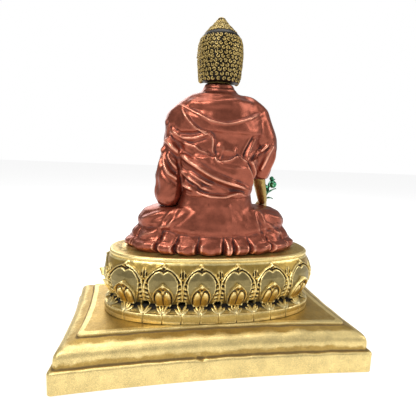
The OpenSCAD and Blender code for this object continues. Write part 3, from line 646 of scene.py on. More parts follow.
layer = star_mesh.attributes.new("hollow", "FLOAT", "POINT")
ray_count = len(points) - len(u)
# Painted highlight and shade by height: rays bright low down, and rays and skirt darker as they rise under
# the petals.
depth = np.where(np.arange(len(points)) < ray_count, -0.45 + 0.12 * height, 0.05 + 0.25 * height)
layer.data.foreach_set("value", depth.astype(np.float32))


# --- Foot and seat plates -------------------------------------------------------------------
# Two flat oval plates close the drum. The lower one is scribed under every star, and the upper
# one has a rolled edge. They are gilt like the wall, and plain.
def plate(name, levels, paint, node, scribe=0.0, seed=1, count=1080):
    """An oval plate from levels of (out from the drum, height), lowest first."""
    along = np.arange(count) / count * AROUND
    off = abs((along / (PITCH / 2) + 0.5) % 1 - 0.5) * PITCH / 2

    def ring(out, z):
        depth = scribe * bump(off, 0.28)
        points = on_drum(along, out - depth, z)
        points[:, :2] += 0.1 * waves(points, 9, seed)[:, None]
        points[:, 2] += 0.07 * waves(points, 13, seed + 1)
        return points

    bm = bmesh.new()
    bmesh.ops.create_circle(bm, segments=count, radius=1, cap_ends=True)
    under = bm.faces[:][-1]
    over = [g for g in bmesh.ops.extrude_face_region(bm, geom=[under])["geom"]
            if isinstance(g, bmesh.types.BMFace)][0]
    for face, (out, z) in ((under, levels[0]), (over, levels[1])):
        for loop, place in zip(face.loops, ring(out, z)):
            loop.vert.co = place * MM
    for out, z in levels[2:]:
        over = bmesh.ops.extrude_discrete_faces(bm, faces=[over])["faces"][0]
        for loop, place in zip(over.loops, ring(out, z)):
            loop.vert.co = place * MM
    mesh = to_mesh(name, bm)
    make_piece(name, mesh, paint, [node], sharp=50)
    mark_hollows(mesh, 1, 4)
    return mesh


plate_gold = lacquer_paint(
    "plate_gold", paint=(0.5, 0.34, 0.095), rubbed_highlight=(0.92, 0.72, 0.31), wash_and_shade=(0.05, 0.035, 0.014),
    wash_and_shade_depth=0.5, rub_and_highlight_height=0.3, gloss=0.38, flakes=0.45, bump=0.15)
plate("foot_plate", [(6.6, 29), (6.9, 29.3), (7, 30), (7, 31.2), (7, 32.4), (7, 33.6), (6.95, 34.6),
                     (6.8, 35.1),
                     (6.4, 35.4), (5.9, 35.5), (3, 35.5)],
      plate_gold, "throne_foot", scribe=0.35, seed=21)
plate("seat_board", [(1.2, 68.5), (2.6, 68.5), (3.3, 68.8), (3.6, 69.4), (3.6, 70.1), (3.2, 70.8),
                     (2.4, 71.2),
                     (1.4, 71.3), (-1, 71.5), (-4, 72), (-7, 72.9), (-9, 73)],
      plate_gold, "seat_plate", seed=31)

# --- Robe -----------------------------------------------------------------------------------
# Castings of a thin wool robe wrap the back and both arms, with its end thrown over the left
# shoulder. One skin stands for the robe, cape, sash and both sleeves, as the copper lacquer
# hides the glued joints between them. The folds are modelled in the cast.
FIGURE_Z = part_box("lower_body")[0][2] / MM
CLOTH_VOXEL = 0.62


def oval_block(bm, levels, count=48):
    """Adds a closed block of ovals, each (height above the seat, half width, half depth, y)."""
    def ring(half_x, half_y, y):
        return [(-half_x * sin(a), y + half_y * cos(a)) for a in np.linspace(0, 2 * pi, count + 1)[:-1]]

    under, over = start_block(bm, ring(*levels[0][1:]), FIGURE_Z + levels[0][0], FIGURE_Z + levels[1][0])
    put_corners(over, ring(*levels[1][1:]), FIGURE_Z + levels[1][0])
    for level in levels[2:]:
        over = next_ring(bm, over, ring(*level[1:]), FIGURE_Z + level[0])


def ball(bm, place, radii, rings=12):
    """Adds a ball with its own radius along each axis, at a point of the figure."""
    scale = Matrix.Diagonal((*(r * MM for r in radii), 1))
    at = Matrix.Translation(Vector((place[0], place[1], place[2] + FIGURE_Z)) * MM)
    bmesh.ops.create_uvsphere(bm, u_segments=rings + 4, v_segments=rings, radius=1, matrix=at @ scale)


def cut_off(bm, point, normal):
    """Cuts a block with a plane through a point of the figure, and closes it."""
    at = Vector((point[0], point[1], point[2] + FIGURE_Z)) * MM
    cut = bmesh.ops.bisect_plane(bm, geom=bm.verts[:] + bm.edges[:] + bm.faces[:], plane_co=at,
                                 plane_no=normal, clear_outer=True)["geom_cut"]
    bmesh.ops.holes_fill(bm, edges=[g for g in cut if isinstance(g, bmesh.types.BMEdge)], sides=0)


def remeshed(name, sources, voxel, rounds, bm=None):
    """Copies of CAD nodes, joined to a block, remeshed at a voxel size, and smoothed."""
    bm = bm or bmesh.new()
    for source in sources:
        copy = bpy.data.objects[source].data.copy()
        copy.transform(bpy.data.objects[source].matrix_world)
        bm.from_mesh(copy)
        bpy.data.meshes.remove(copy)
    bmesh.ops.remove_doubles(bm, verts=bm.verts, dist=1e-6)
    rough = bpy.data.objects.new("rough", to_mesh("rough", bm))
    bpy.context.scene.collection.objects.link(rough)
    remesh = rough.modifiers.new("remesh", "REMESH")
    remesh.mode = "VOXEL"
    remesh.voxel_size = voxel * MM
    depsgraph = bpy.context.evaluated_depsgraph_get()
    mesh = bpy.data.meshes.new_from_object(rough.evaluated_get(depsgraph))
    mesh.name = name
    old = rough.data
    bpy.data.objects.remove(rough)
    bpy.data.meshes.remove(old)
    write_points(mesh, blur(mesh, read_points(mesh), rounds))
    return mesh


def nearest_on_line(points, normals, line):
    """Distance from each point to a line in space, which side it is on, and its share along it."""
    best = np.full(len(points), 1e9)
    side, share = np.zeros(len(points)), np.zeros(len(points))
    line = np.array(line, dtype=float)
    for i, (a, b) in enumerate(zip(line[:-1], line[1:])):
        way = b - a
        t = np.clip(((points - a) @ way) / (way @ way), 0, 1)
        off = points - a - t[:, None] * way
        distance = np.linalg.norm(off, axis=1)
        nearer = distance < best
        best = np.where(nearer, distance, best)
        side = np.where(nearer, np.sign((np.cross(way, off) * normals).sum(1)), side)
        share = np.where(nearer, (i + t) / (len(line) - 1), share)
    return best, side, share


def smooth_line(line, steps=5):
    """Rounds a line through its points."""
    p = np.array(line, dtype=float)
    p = np.vstack([2 * p[0] - p[1], p, 2 * p[-1] - p[-2]])
    out = []
    for a, b, c, d in zip(p[:-3], p[1:-2], p[2:-1], p[3:]):
        for t in np.arange(steps) / steps:
            out.append(0.5 * (2 * b + (c - a) * t + (2 * a - 5 * b + 4 * c - d) * t * t
                              + (3 * b - a - 3 * c + d) * t ** 3))
    return out + [p[-2]]


def add_fold(points, normals, push, kind, line, rise, width, fade=12.0):
    """Adds a ridge, or a ledge that is raised on the line's left, to how far each point is pushed."""
    distance, side, share = nearest_on_line(points, normals, smooth_line(line))
    ends = step(share, 0.0, 0.1) * step(share, 1.0, 0.9) * 0.85 + 0.15
    if kind == "ridge":
        push += rise * bump(distance, width) * ends
        push -= 0.35 * rise * bump(distance - 1.9 * width, 0.8 * width) * ends
    else:
        signed = distance * np.where(side == 0, 1, side)
        push += rise * ends * (0.5 + 0.5 * np.tanh(signed / width)) * bump(np.maximum(signed, 0), fade)
        push -= 0.5 * rise * ends * bump(signed + 1.8 * width, 1.3 * width)


def add_folds(points, normals, push, folds):
    for kind, line, rise, width, fade in folds:
        add_fold(points, normals, push, kind, line, rise, width, fade or 12)


def start_folds(mesh):
    """Points, normals, points measured from the seat, and a push of zero for each of them."""
    points = read_points(mesh)
    return points, read_normals(mesh), points - np.array([0, 0, FIGURE_Z]), np.zeros(len(points))


# Folds on the back and arms, each through points of x, y and height above the seat.
BACK_FOLDS = [
    ("ledge", [(27, 13, 95), (20, 18.2, 91.4), (15, 21, 88.8), (10.8, 22.5, 86.5), (5.8, 23.3, 84.6),
               (0, 23.6, 83.7),
               (-5, 23.4, 84), (-12.3, 22.3, 86.1), (-19.5, 19.5, 88.9), (-28.7, 13.4, 93.5)], -1.7, 0.5, 9),
    ("ridge", [(27, 12, 94), (20, 17.5, 89.4), (13, 21, 86.4), (7, 23, 82.9)], 0.9, 0.7, 0),
    ("ledge", [(25.6, 14.2, 92.4), (23.9, 17.5, 88.6), (20, 20.6, 83.1), (16.1, 22.4, 79.4),
               (11.2, 23.8, 77),
               (7.1, 22.4, 75.5), (5.8, 22.7, 73.1), (5.4, 22.8, 71.3), (5.5, 23.1, 66.3),
               (4.1, 23.4, 62.1)],
     -1.7, 0.5, 8),
    ("ridge", [(24, 14.2, 90), (21.5, 17.5, 85.6), (17.6, 20.6, 80.6), (13.5, 22.4, 77.2), (8.6, 23.2, 75)],
     0.9, 0.6, 0),
    ("ridge", [(32.5, 12, 77.7), (28.6, 14.7, 75.3), (25.7, 15.2, 73.6), (22.2, 18, 73), (17.1, 20.4, 73.4),
               (12, 21.7, 75.3), (9.6, 22.1, 75.6)], 1.5, 1.3, 0),
    ("ridge", [(32.5, 12, 77.3), (30.7, 13.9, 74), (26.8, 14.6, 71.6), (22.1, 18, 69.3), (16.9, 20.6, 67.7),
               (14.2, 21.6, 65.7), (10.4, 22.5, 64.3), (7.9, 23, 62.5)], 1.1, 0.7, 0),
    ("ridge", [(35.3, 8, 71.4), (33.9, 11.1, 70.7), (31.4, 13.8, 67.7), (28.2, 14.6, 64.7),
               (24.4, 18.8, 61.7),
               (19.3, 22, 57.7), (14.1, 24.3, 54.5), (9.2, 25.7, 51.4), (4.7, 26.5, 49.1), (1.5, 26.7, 47.9),
               (-5.4, 26.5, 45.6), (-12.9, 24.9, 43.5), (-21.5, 19.3, 40.4)], 2.3, 1.8, 0),
    ("ridge", [(34.3, 12, 64), (33.4, 13.6, 60.4), (30.3, 15.1, 56.4), (26.2, 15.8, 52.6),
               (22.8, 19.2, 49.9),
               (18.9, 22.1, 47), (15, 24.1, 44.6), (12.5, 25, 42.1), (4.4, 26.6, 40.7)], 1.6, 1.2, 0),
    ("ridge", [(33.1, 13.3, 63.6), (29, 14.9, 58.5), (25.2, 16.9, 53.4), (19, 22.1, 50.2),
               (13.9, 24.6, 47.4),
               (8.9, 26, 45.2), (4.5, 26.6, 44.1)], 1.2, 0.9, 0),
    ("ridge", [(36.3, 4.3, 68.8), (36, 10.6, 60.7), (35, 13.7, 54.2), (32.9, 15.4, 50.5), (28.7, 15.4, 47.5),
               (23.7, 17.3, 44.2), (19.9, 20.9, 42), (17.5, 22.6, 41.4)], 2.0, 1.5, 0),
    ("ledge", [(17.8, 22.4, 41.4), (10.5, 25.5, 39.1), (4.2, 26.6, 38.1), (-2.2, 26.7, 37.9),
               (-6.8, 26.3, 39.6),
               (-12.4, 25, 40.5), (-18.9, 21.4, 38.3)], -1.6, 0.6, 6),
    ("ledge", [(4.1, 23.4, 62.1), (3.3, 25.8, 60.7), (0.1, 25.9, 60.4), (-4.1, 25.7, 61.2),
               (-8.7, 22.9, 62.6),
               (-11.7, 22.3, 63.3), (-14, 24.1, 61.6), (-17.5, 22.7, 60.2)], -1.7, 0.5, 7),
    ("ridge", [(3.8, 23.1, 69.4), (-3.5, 23.2, 66.1), (-9.8, 22.8, 65.4)], 1.3, 2.6, 0),
    ("ridge", [(-21.2, 18.5, 76), (-17.9, 20.2, 69.3), (-15.1, 21.4, 62.8)], -1.5, 1.1, 0),
    ("ridge", [(-29.3, 13.5, 69.9), (-24.4, 16, 64.4), (-18.5, 22.5, 59.8)], -1.6, 1.1, 0),
    ("ridge", [(-17.8, 22.8, 59.8), (-20.5, 21.4, 55.9), (-22.8, 19.4, 51.3), (-24, 17, 44)], -2.2, 1.2, 0),
    ("ridge", [(-33.3, 14.4, 71.4), (-29.3, 13.1, 67.9), (-24.4, 15.9, 64.2)], 1.5, 1.2, 0),
    ("ridge", [(-37, 13.3, 71.5), (-34.9, 13.4, 66.8), (-32.7, 12.6, 61.3), (-30, 9.8, 53)], 1.6, 1.3, 0),
    ("ridge", [(-40, 8, 70), (-39, 9, 62), (-36, 8, 54), (-34, 6, 48)], 1.2, 1.3, 0),
    ("ridge", [(13, 6, 105.2), (7, 11.4, 104), (0, 13.2, 103.6), (-7, 11.4, 104), (-13, 6, 105.2)], -1.3,
     0.6, 0),
    ("ridge", [(14, 7, 102.6), (7, 13.4, 101.4), (0, 15, 101), (-7, 13.4, 101.4), (-14, 7, 102.6)], 0.8, 0.7,
     0),
    ("ridge", [(10, 7, 108.4), (5, 10.8, 108), (0, 12, 107.8), (-5, 10.8, 108), (-10, 7, 108.4)], 0.6, 0.8,
     0),
    ("ridge", [(24, 13, 97), (11.8, 19, 95.5), (-0.7, 20, 96.2), (-13, 17.3, 97.4), (-24, 12, 97)], 0.9, 2.6,
     0),
    ("ridge", [(37, 4, 84), (38, 6, 76), (38.5, 7, 66), (38.5, 7, 54), (39, 6, 44), (40, 4, 34)], 1.0, 1.7,
     0),
    ("ridge", [(31, 12, 82), (35, 10, 74), (37, 9, 62), (36.5, 10, 50), (36, 11, 40), (37, 10, 32)], -0.9,
     1.0, 0),
    ("ridge", [(28, 13, 44), (31, 14, 40), (34, 13, 35), (35, 12, 30)], 1.3, 1.3, 0),
    ("ridge", [(-16, 19, 80), (-21, 17.5, 84), (-27, 13.5, 88), (-32, 8, 90)], 0.8, 1.6, 0),
]
PLEAT_TOP = [(8.5, 22.8, 69.5), (1.6, 26, 58.9), (-8, 25.7, 56.5), (-19.5, 22.3, 56)]
PLEAT_LOW = [(14.5, 24, 56), (5, 26.3, 51.3), (-6, 26.4, 47.2), (-21.5, 19.9, 42.6)]
PLEATS = 9
for i in range(PLEATS):
    share = (i + 0.5) / PLEATS
    line = [tuple((1 - share) * np.array(a) + share * np.array(b)) for a, b in zip(PLEAT_TOP, PLEAT_LOW)]
    BACK_FOLDS.append(("ridge", line, 0.95, 0.62, 0))
# Folds on the chest side: the open edges of the robe, and the drapes over both arms.
for x in (-1, 1):
    BACK_FOLDS += [
        ("ridge", [(x * 9, -6, 103), (x * 15, -10.5, 94), (x * 17, -12, 80), (x * 15, -12, 62),
                   (x * 12, -11, 46)],
         1.1, 1.0, 0),
        ("ridge", [(x * 14, -5, 103), (x * 21, -9, 92), (x * 22, -11, 76), (x * 19, -11, 60)], 0.9, 1.0, 0),
        ("ridge", [(x * 36, -6, 82), (x * 37, -8, 70), (x * 33, -10, 58), (x * 28, -10, 50)], 1.2, 1.2, 0),
        ("ridge", [(x * 33, -8, 88), (x * 31, -9.5, 74), (x * 26, -11, 64)], 1.0, 1.1, 0),
    ]
PITS = [(34.5, 9, 82), (33, 11, 79.5), (30, 12.5, 80.5), (28, 14, 78)]

copper_robe = lacquer_paint(
    "copper_robe", paint=(0.33, 0.092, 0.054), rubbed_highlight=(0.9, 0.4, 0.26), wash_and_shade=(0.06, 0.01, 0.006),
    wash_and_shade_depth=1.4, rub_and_highlight_height=1.5, gloss=0.33, flakes=0.3, bump=0.12)

bm = bmesh.new()
oval_block(bm, [(94, 25, 13, 3), (98, 20.5, 13, 3), (101, 15.5, 11.8, 2.8), (104, 12.2, 10.8, 2.4),
                (105.4, 11.2, 10.2, 2.2), (108, 10.2, 9.6, 2), (109.6, 9.8, 9.2, 2)])
cut_off(bm, (0, -2.5, 108), (0, -1, -0.55))
robe_mesh = remeshed("robe", ["outer_robe", "shoulder_cape", "sash", "left_sleeve", "right_sleeve"],
                     CLOTH_VOXEL, 26, bm)
points, normals, figure, push = start_folds(robe_mesh)
add_folds(figure, normals, push, BACK_FOLDS)
for pit in PITS:
    push -= 1.8 * bump(np.linalg.norm(figure - np.array(pit), axis=1), 1.1)
push += 0.35 * waves(figure, 14, 41) + 0.22 * waves(figure * np.array([1, 1, 0.45]), 6, 42)
arms = abs(figure[:, 0]) > 24 + 0.1 * figure[:, 2]
axis_x = np.where(arms, np.sign(figure[:, 0]) * 31, 0)
facing = (normals[:, 0] * (figure[:, 0] - axis_x) + normals[:, 1] * (figure[:, 1] - 3)) > -2
push *= facing
push = blur(robe_mesh, push, 1)[:, 0]
write_points(robe_mesh, points + normals * push[:, None])
write_points(robe_mesh, blur(robe_mesh, read_points(robe_mesh), 1))
make_piece("draped_robe", robe_mesh, copper_robe,
           ["outer_robe", "shoulder_cape", "sash", "left_sleeve", "right_sleeve"], sharp=75)
# The fold valleys take the dark colour and the ridges the bright one: partly the real wash and rubbing,
# partly painted shade and highlight.
mark_hollows(robe_mesh, 4, 22)


# --- Lap and skirt --------------------------------------------------------------------------
# The crossed legs lie under the skirt of the robe, which spreads in a ruffled hem on the seat.
# It is one casting, pegged to the seat plate, and lacquered with the robe.
HEM_CREASES = [(60, 12), (43, 24.5), (30, 27.5), (14.6, 29), (-3, 29.3), (-10, 29.2), (-22, 28.8),
               (-39, 25.6),
               (-52, 18), (-60, 4), (60, -8), (-58, -12), (50, -20), (-46, -23), (34, -27), (-31, -27.5),
               (17, -29), (-14, -29), (1, -29.5)]
SKIRT_FOLDS = [
    ("ridge", [(-19, 22, 36), (-30, 21, 30), (-41, 17, 24), (-47, 10, 20)], 1.2, 1.8, 0),
    ("ridge", [(-17, 24, 33), (-28, 24.5, 24), (-40, 20, 15), (-48, 14, 10)], 1.3, 1.7, 0),
    ("ridge", [(-12, 25, 34), (-20, 27, 22), (-30, 26.5, 12), (-38, 25, 6)], 1.1, 1.9, 0),
    ("ridge", [(-4, 26, 33), (-8, 28, 20), (-12, 29, 10)], 0.8, 2.2, 0),
    ("ridge", [(-23.5, 20, 38), (-27, 22, 27), (-31, 24, 14), (-33, 25, 8)], -1.6, 1.5, 0),
    ("ridge", [(24, 19, 39), (29, 21, 29), (35, 22.5, 18), (38, 24, 9)], -1.6, 1.5, 0),
    ("ridge", [(31, 28, 2.5), (25, 29.6, 5), (18.5, 31, 8.6), (14, 31, 9.4)], 1.7, 1.0, 0),
    ("ridge", [(27.5, 29, 1.5), (22, 31, 3.4), (17, 32, 6)], -1.3, 0.8, 0),
    ("ridge", [(-1.5, 30, 8), (-4.5, 31, 10.2), (-8, 31, 9), (-10, 31, 5), (-10.5, 31, 2)], 1.6, 0.9, 0),
    ("ridge", [(-4.5, 31, 7.6), (-7, 31.5, 5), (-7.6, 31.5, 2)], -1.3, 0.7, 0),
    ("ridge", [(20, 21, 38), (32, 20, 30), (43, 15, 23), (49, 8, 18)], 1.2, 1.9, 0),
    ("ridge", [(16, 24, 33), (27, 24, 23), (38, 20.5, 15), (49, 13, 9)], 1.2, 1.8, 0),
    ("ridge", [(8, 26, 33), (14, 28, 20), (20, 28.5, 9)], 0.8, 2.2, 0),
    ("ridge", [(-47, -8, 18), (-30, -20, 20), (-10, -25, 17), (10, -25, 14), (28, -21, 16)], 1.8, 2.2, 0),
    ("ridge", [(47, -8, 18), (34, -18, 21), (18, -23, 21), (4, -24, 22)], 1.7, 2.2, 0),
    ("ridge", [(-50, -2, 12), (-34, -22, 11), (-12, -28, 9), (12, -28, 8), (34, -22, 10), (50, -2, 12)], 1.4,
     1.8, 0),
    ("ridge", [(-44, -14, 25), (-28, -19, 27), (-12, -21, 26)], 1.1, 1.6, 0),
    ("ridge", [(44, -12, 25), (30, -17, 28), (16, -20, 28)], 1.1, 1.6, 0),
]

bm = bmesh.new()
oval_block(bm, [(1, 37, 24, 4.8), (5, 36, 24, 4.6), (12, 33.5, 22.6, 5.2), (20, 30.5, 20.8, 6.2),
                (28, 27.5, 19, 7),
                (34, 25.2, 17.8, 7.6), (39, 23.8, 17, 8), (44, 23, 16, 8)])
skirt_mesh = remeshed("skirt", ["lower_body"], CLOTH_VOXEL, 12, bm)
points, normals, figure, push = start_folds(skirt_mesh)
add_folds(figure, normals, push, SKIRT_FOLDS)
push += 0.5 * waves(figure, 22, 51) + 0.25 * waves(figure, 9, 52)
push *= step(figure[:, 2], 0.5, 4) * (normals[:, 2] > -0.6)
angle = np.arctan2(figure[:, 1] / 29.5, figure[:, 0] / 59.5)
crease = np.full(len(points), 1e9)
lobe = np.full(len(points), 0.0)
turns = sorted(math.atan2(y / 29.5, x / 59.5) for x, y in HEM_CREASES)
for a, b in zip(turns, turns[1:] + [turns[0] + 2 * pi]):
    share = ((angle - a) % (2 * pi)) / (b - a)
    inside = share < 1
    lobe = np.where(inside, np.sin(pi * np.clip(share, 0, 1)) ** 0.55, lobe)
    crease = np.where(inside, np.minimum(share, 1 - share) * (b - a) * 42, crease)
height = figure[:, 2]
outward = np.stack([np.cos(angle) * 29.5, np.sin(angle) * 59.5, np.zeros(len(points))], 1)
outward /= np.linalg.norm(outward, axis=1)[:, None]
side_face = step(normals[:, 2], 0.95, 0.5) * (height > 0.3)
hem_h = 9 + 4 * step(abs(figure[:, 0]), 15, 45)
low = step(height, hem_h + 3, hem_h - 4)
ruffle = low * (3.4 * lobe - 1.9) - 1.0 * bump(crease, 0.7) * low
ruffle += 0.8 * bump(crease - 1.7, 0.7) * step(height, hem_h + 1, 3)
ruffle -= 1.5 * bump(height - hem_h - 1.5, 2.2)
ruffle += 0.5 * waves(figure, 7, 53) * low
moved = points + normals * push[:, None] + outward * (ruffle * side_face)[:, None]
moved[:, 2] -= 1.3 * step(height, 4, 0) * lobe * (np.hypot(figure[:, 0] / 52, figure[:, 1] / 23) > 1)
write_points(skirt_mesh, moved)
write_points(skirt_mesh, blur(skirt_mesh, read_points(skirt_mesh), 1))
make_piece("lap_and_skirt", skirt_mesh, copper_robe, ["lower_body"], sharp=75)
mark_hollows(skirt_mesh, 4, 24)


# --- Body under the robe --------------------------------------------------------------------
# The chest, the forearms with their hands and the crossed feet are castings of their own in a
# flat skin gold. Pegs hold the chest. Pins hold the forearms in the sleeves.
skin_gold = lacquer_paint(
    "skin_gold", paint=(0.42, 0.29, 0.085), rubbed_highlight=(0.8, 0.62, 0.26), wash_and_shade=(0.07, 0.04, 0.012),
    wash_and_shade_depth=0.8, rub_and_highlight_height=0.8, gloss=0.36, flakes=0.35, bump=0.12)

CHEST_VOXEL = 0.7
chest_mesh = remeshed("chest", ["torso"], CHEST_VOXEL, 16)
points, normals, figure, push = start_folds(chest_mesh)
for x in (-1, 1):
    add_fold(figure, normals, push, "ridge", [(x * 1.5, -12, 84), (x * 8, -12, 76), (x * 17, -10, 77),
                                              (x * 22, -8, 84)],
             -0.7, 1.2, 0)
    add_fold(figure, normals, push, "ridge", [(x * 3, -9, 99), (x * 9, -9, 100.5), (x * 17, -8, 101)], 0.7,
             0.9, 0)
    push += 1.4 * bump(np.linalg.norm((figure - np.array([x * 9, -12, 83])) * np.array([1, 1, 1.3]), axis=1),
                       7)
push -= 0.9 * bump(np.linalg.norm(figure - np.array([0, -8, 52]), axis=1), 1.2)
write_points(chest_mesh, points + normals * push[:, None])
make_piece("bare_chest", chest_mesh, skin_gold, ["torso"], sharp=75)
mark_hollows(chest_mesh, 4, 16)

LIMB_VOXEL = 0.38
for name, source in (("right_hand", "right_forearm"), ("left_hand", "left_forearm"),
                     ("crossed_feet", "feet")):
    mesh = remeshed(name, [source], LIMB_VOXEL, 5)
    points, normals = read_points(mesh), read_normals(mesh)
    write_points(mesh, points + normals * (0.12 * waves(points, 3.5, 61))[:, None])
    make_piece(name, mesh, skin_gold, [source], sharp=75)
    mark_hollows(mesh, 3, 12)


# --- Head -----------------------------------------------------------------------------------
# One casting from the neck up, with long ear lobes, arched brows, lowered lids and a slight
# smile. It is pegged into the chest and painted skin gold.
bm = bmesh.new()
ball(bm, (0, -16.0, 121.8), (1.35, 1.7, 4.4))
ball(bm, (0, -17.3, 119.2), (1.5, 1.4, 1.15))
ball(bm, (0, -12.2, 110.6), (3.4, 2.6, 2.4))
ball(bm, (0, -14.5, 114.3), (2.5, 1.0, 0.72))
ball(bm, (0, -16.3, 130.4), (0.62, 0.5, 0.62))
for x in (-1, 1):
    ball(bm, (x * 1.35, -16.3, 118.7), (0.95, 1.1, 0.8))
    ball(bm, (x * 1.2, -14.9, 115.7), (1.9, 0.85, 0.58))
    ball(bm, (x * 4.9, -14.2, 123.6), (3.1, 1.35, 1.35))
    ball(bm, (x * 6.2, -11.2, 116.8), (3.4, 2.6, 3.4))
    ball(bm, (x * 13.3, 1.6, 123.8), (1.3, 2.6, 3.6))
    ball(bm, (x * 13.2, 0.6, 118), (1.15, 1.7, 4.2))
    ball(bm, (x * 12.7, 0.4, 113), (1.35, 1.9, 3.2))
HEAD_VOXEL = 0.42
head_mesh = remeshed("head", ["head"], HEAD_VOXEL, 5, bm)
points, normals, figure, push = start_folds(head_mesh)
for x in (-1, 1):
    add_fold(figure, normals, push, "ridge",
             [(x * 1.6, -16.2, 125.4), (x * 4.4, -15.4, 127.6), (x * 8.4, -12.8, 126.6)], 0.55, 0.5, 0)
    add_fold(figure, normals, push, "ridge",
             [(x * 2.1, -15.6, 122.9), (x * 4.9, -15.5, 122.5), (x * 7.6, -13.4, 123.1)], -0.55, 0.34, 0)
    add_fold(figure, normals, push, "ridge",
             [(x * 2.2, -15.4, 124.9), (x * 5, -15.4, 125.5), (x * 7.6, -13.3, 124.8)], -0.3, 0.35, 0)
    add_fold(figure, normals, push, "ridge", [(x * 12.9, -0.6, 121), (x * 14.2, 1.4, 125),
                                              (x * 14.2, 3, 121),
                                              (x * 13.9, 1.4, 116)], -0.45, 0.45, 0)
    push -= 0.5 * bump(np.linalg.norm(figure - np.array([x * 3.1, -14.2, 115.2]), axis=1), 0.6)
add_fold(figure, normals, push, "ridge", [(-3, -14.4, 115.2), (0, -15.4, 114.95), (3, -14.4, 115.2)], -0.5,
         0.3, 0)
for level in (106.5, 108.6):
    add_fold(figure, normals, push, "ridge", [(-7, -2, level), (0, -7, level - 0.4), (7, -2, level)], -0.35,
             0.4, 0)
write_points(head_mesh, points + normals * push[:, None])
make_piece("head_and_neck", head_mesh, skin_gold, ["head"], sharp=75)
mark_hollows(head_mesh, 3, 12)


# --- Hair -----------------------------------------------------------------------------------
# Rows of tight curls cover a black cap and the tip on its crown. One skin stands for the cap and
# the tip. The curls are cast with them and are a piece of their own here, rubbed gold on top.
CURL_R, TUBE_R = 0.88, 0.46
hair_black = lacquer_paint(
    "hair_black", paint=(0.018, 0.014, 0.009), rubbed_highlight=(0.12, 0.085, 0.03), wash_and_shade=(0.006, 0.005, 0.004),
    wash_and_shade_depth=0.8, rub_and_highlight_height=1.5, gloss=0.42, flakes=0.2, bump=0.3)
curl_gold = lacquer_paint(
    "curl_gold", paint=(0.36, 0.25, 0.075), rubbed_highlight=(0.92, 0.74, 0.33), wash_and_shade=(0.012, 0.009, 0.005),
    wash_and_shade_depth=0.55, rub_and_highlight_height=0.5, gloss=0.35, flakes=0.3, bump=0.25)

bm = bmesh.new()
oval_block(bm, [(110, 12, 9.8, 5.4), (112, 12.9, 11.4, 5), (115, 13.6, 13.4, 4), (119, 14, 15.2, 2.6)])
cut_off(bm, (0, 1, 114), (0, -1, 0))
for height, half_x, half_y in ((143, 8.4, 9.6), (145.5, 5.6, 6.2), (147.5, 3.6, 3.8)):
    ball(bm, (0, 0.4, height), (half_x, half_y, 4.2))
HAIR_VOXEL = 0.5
cap_mesh = remeshed("cap", ["hair_cap", "hair_spire"], HAIR_VOXEL, 6, bm)
make_piece("hair_shell", cap_mesh, hair_black, ["hair_cap", "hair_spire"], sharp=75)
mark_hollows(cap_mesh, 4, 12)

cap_bm = bmesh.new()
cap_bm.from_mesh(cap_mesh)
cap_tree = BVHTree.FromBMesh(cap_bm)
curl = bmesh.new()
bmesh.ops.create_circle(curl, segments=6, radius=TUBE_R, cap_ends=True,
                        matrix=Matrix.Translation((CURL_R, 0, 0)) @ Matrix.Rotation(pi / 2, 4, "X"))
bmesh.ops.spin(curl, geom=curl.verts[:] + curl.edges[:] + curl.faces[:], cent=(0, 0, 0), axis=(0, 0, 1),
               angle=radians(295), steps=8, use_duplicate=False)
bmesh.ops.create_icosphere(curl, subdivisions=1, radius=0.42)
curl_mesh = to_mesh("curl", curl)
one_curl = np.array([v.co[:] for v in curl_mesh.vertices])

curls = bmesh.new()
rng = random.Random(8)
tops = []
for row in range(17):
    level = 111.2 + row * 2.55 if row < 13 else 111.2 + 13 * 2.55 + (row - 13) * 2.1
    size = 1.0 if row < 13 else 0.85
    reach = max(0.6, np.interp(level, [110, 120, 130, 137, 141, 145, 149, 151],
                               [12, 15, 16, 14.5, 12, 8, 4, 1.5]))
    count = max(4, round(2 * pi * reach / (2.75 * size)))
    for i in range(count):
        turn = 2 * pi * (i + 0.5 * (row % 2)) / count + rng.uniform(-0.02, 0.02)
        aim = Vector((sin(turn), cos(turn), 0.0 if level < 139 else 0.25))
        start = Vector((0, 1, level + FIGURE_Z)) * MM + aim * 0.06
        hit, normal, _, _ = cap_tree.ray_cast(start, -aim)
        if hit is None or (hit.y / MM < -2.5 and hit.z / MM - FIGURE_Z < 124 + 10
                           * (1 - abs(hit.x / MM) / 14)):
            continue
        facing = normal.to_track_quat("Z", "Y").to_matrix().to_4x4()
        spin = Matrix.Rotation(rng.uniform(0, 2 * pi), 4, "Z") @ Matrix.Scale(size * rng.uniform(0.95, 1.1),
                                                                              4)
        place = Matrix.Translation(hit + normal * 0.05 * MM) @ facing @ Matrix.Scale(MM, 4) @ spin
        mesh = curl_mesh.copy()
        mesh.transform(place)
        curls.from_mesh(mesh)
        bpy.data.meshes.remove(mesh)
        tops.append(one_curl[:, 2])
curl_rows = to_mesh("curl_rows", curls)
make_piece("hair_curls", curl_rows, curl_gold, sharp=75)
layer = curl_rows.attributes.new("hollow", "FLOAT", "POINT")
layer.data.foreach_set("value", (0.35 - 1.5 * np.concatenate(tops)).astype(np.float32))
bpy.data.meshes.remove(curl_mesh)


# --- Medicine bowl --------------------------------------------------------------------------
# A round, empty bowl with a foot and a rolled lip rests in the left palm, held by a pin. It is
# cast, and painted in deep blue lacquer.
def close_ends(mesh):
    """Caps the open ends of a tube or a turned shape."""
    bm = bmesh.new()
    bm.from_mesh(mesh)
    bmesh.ops.holes_fill(bm, edges=bm.edges, sides=0)
    bm.to_mesh(mesh)
    bm.free()


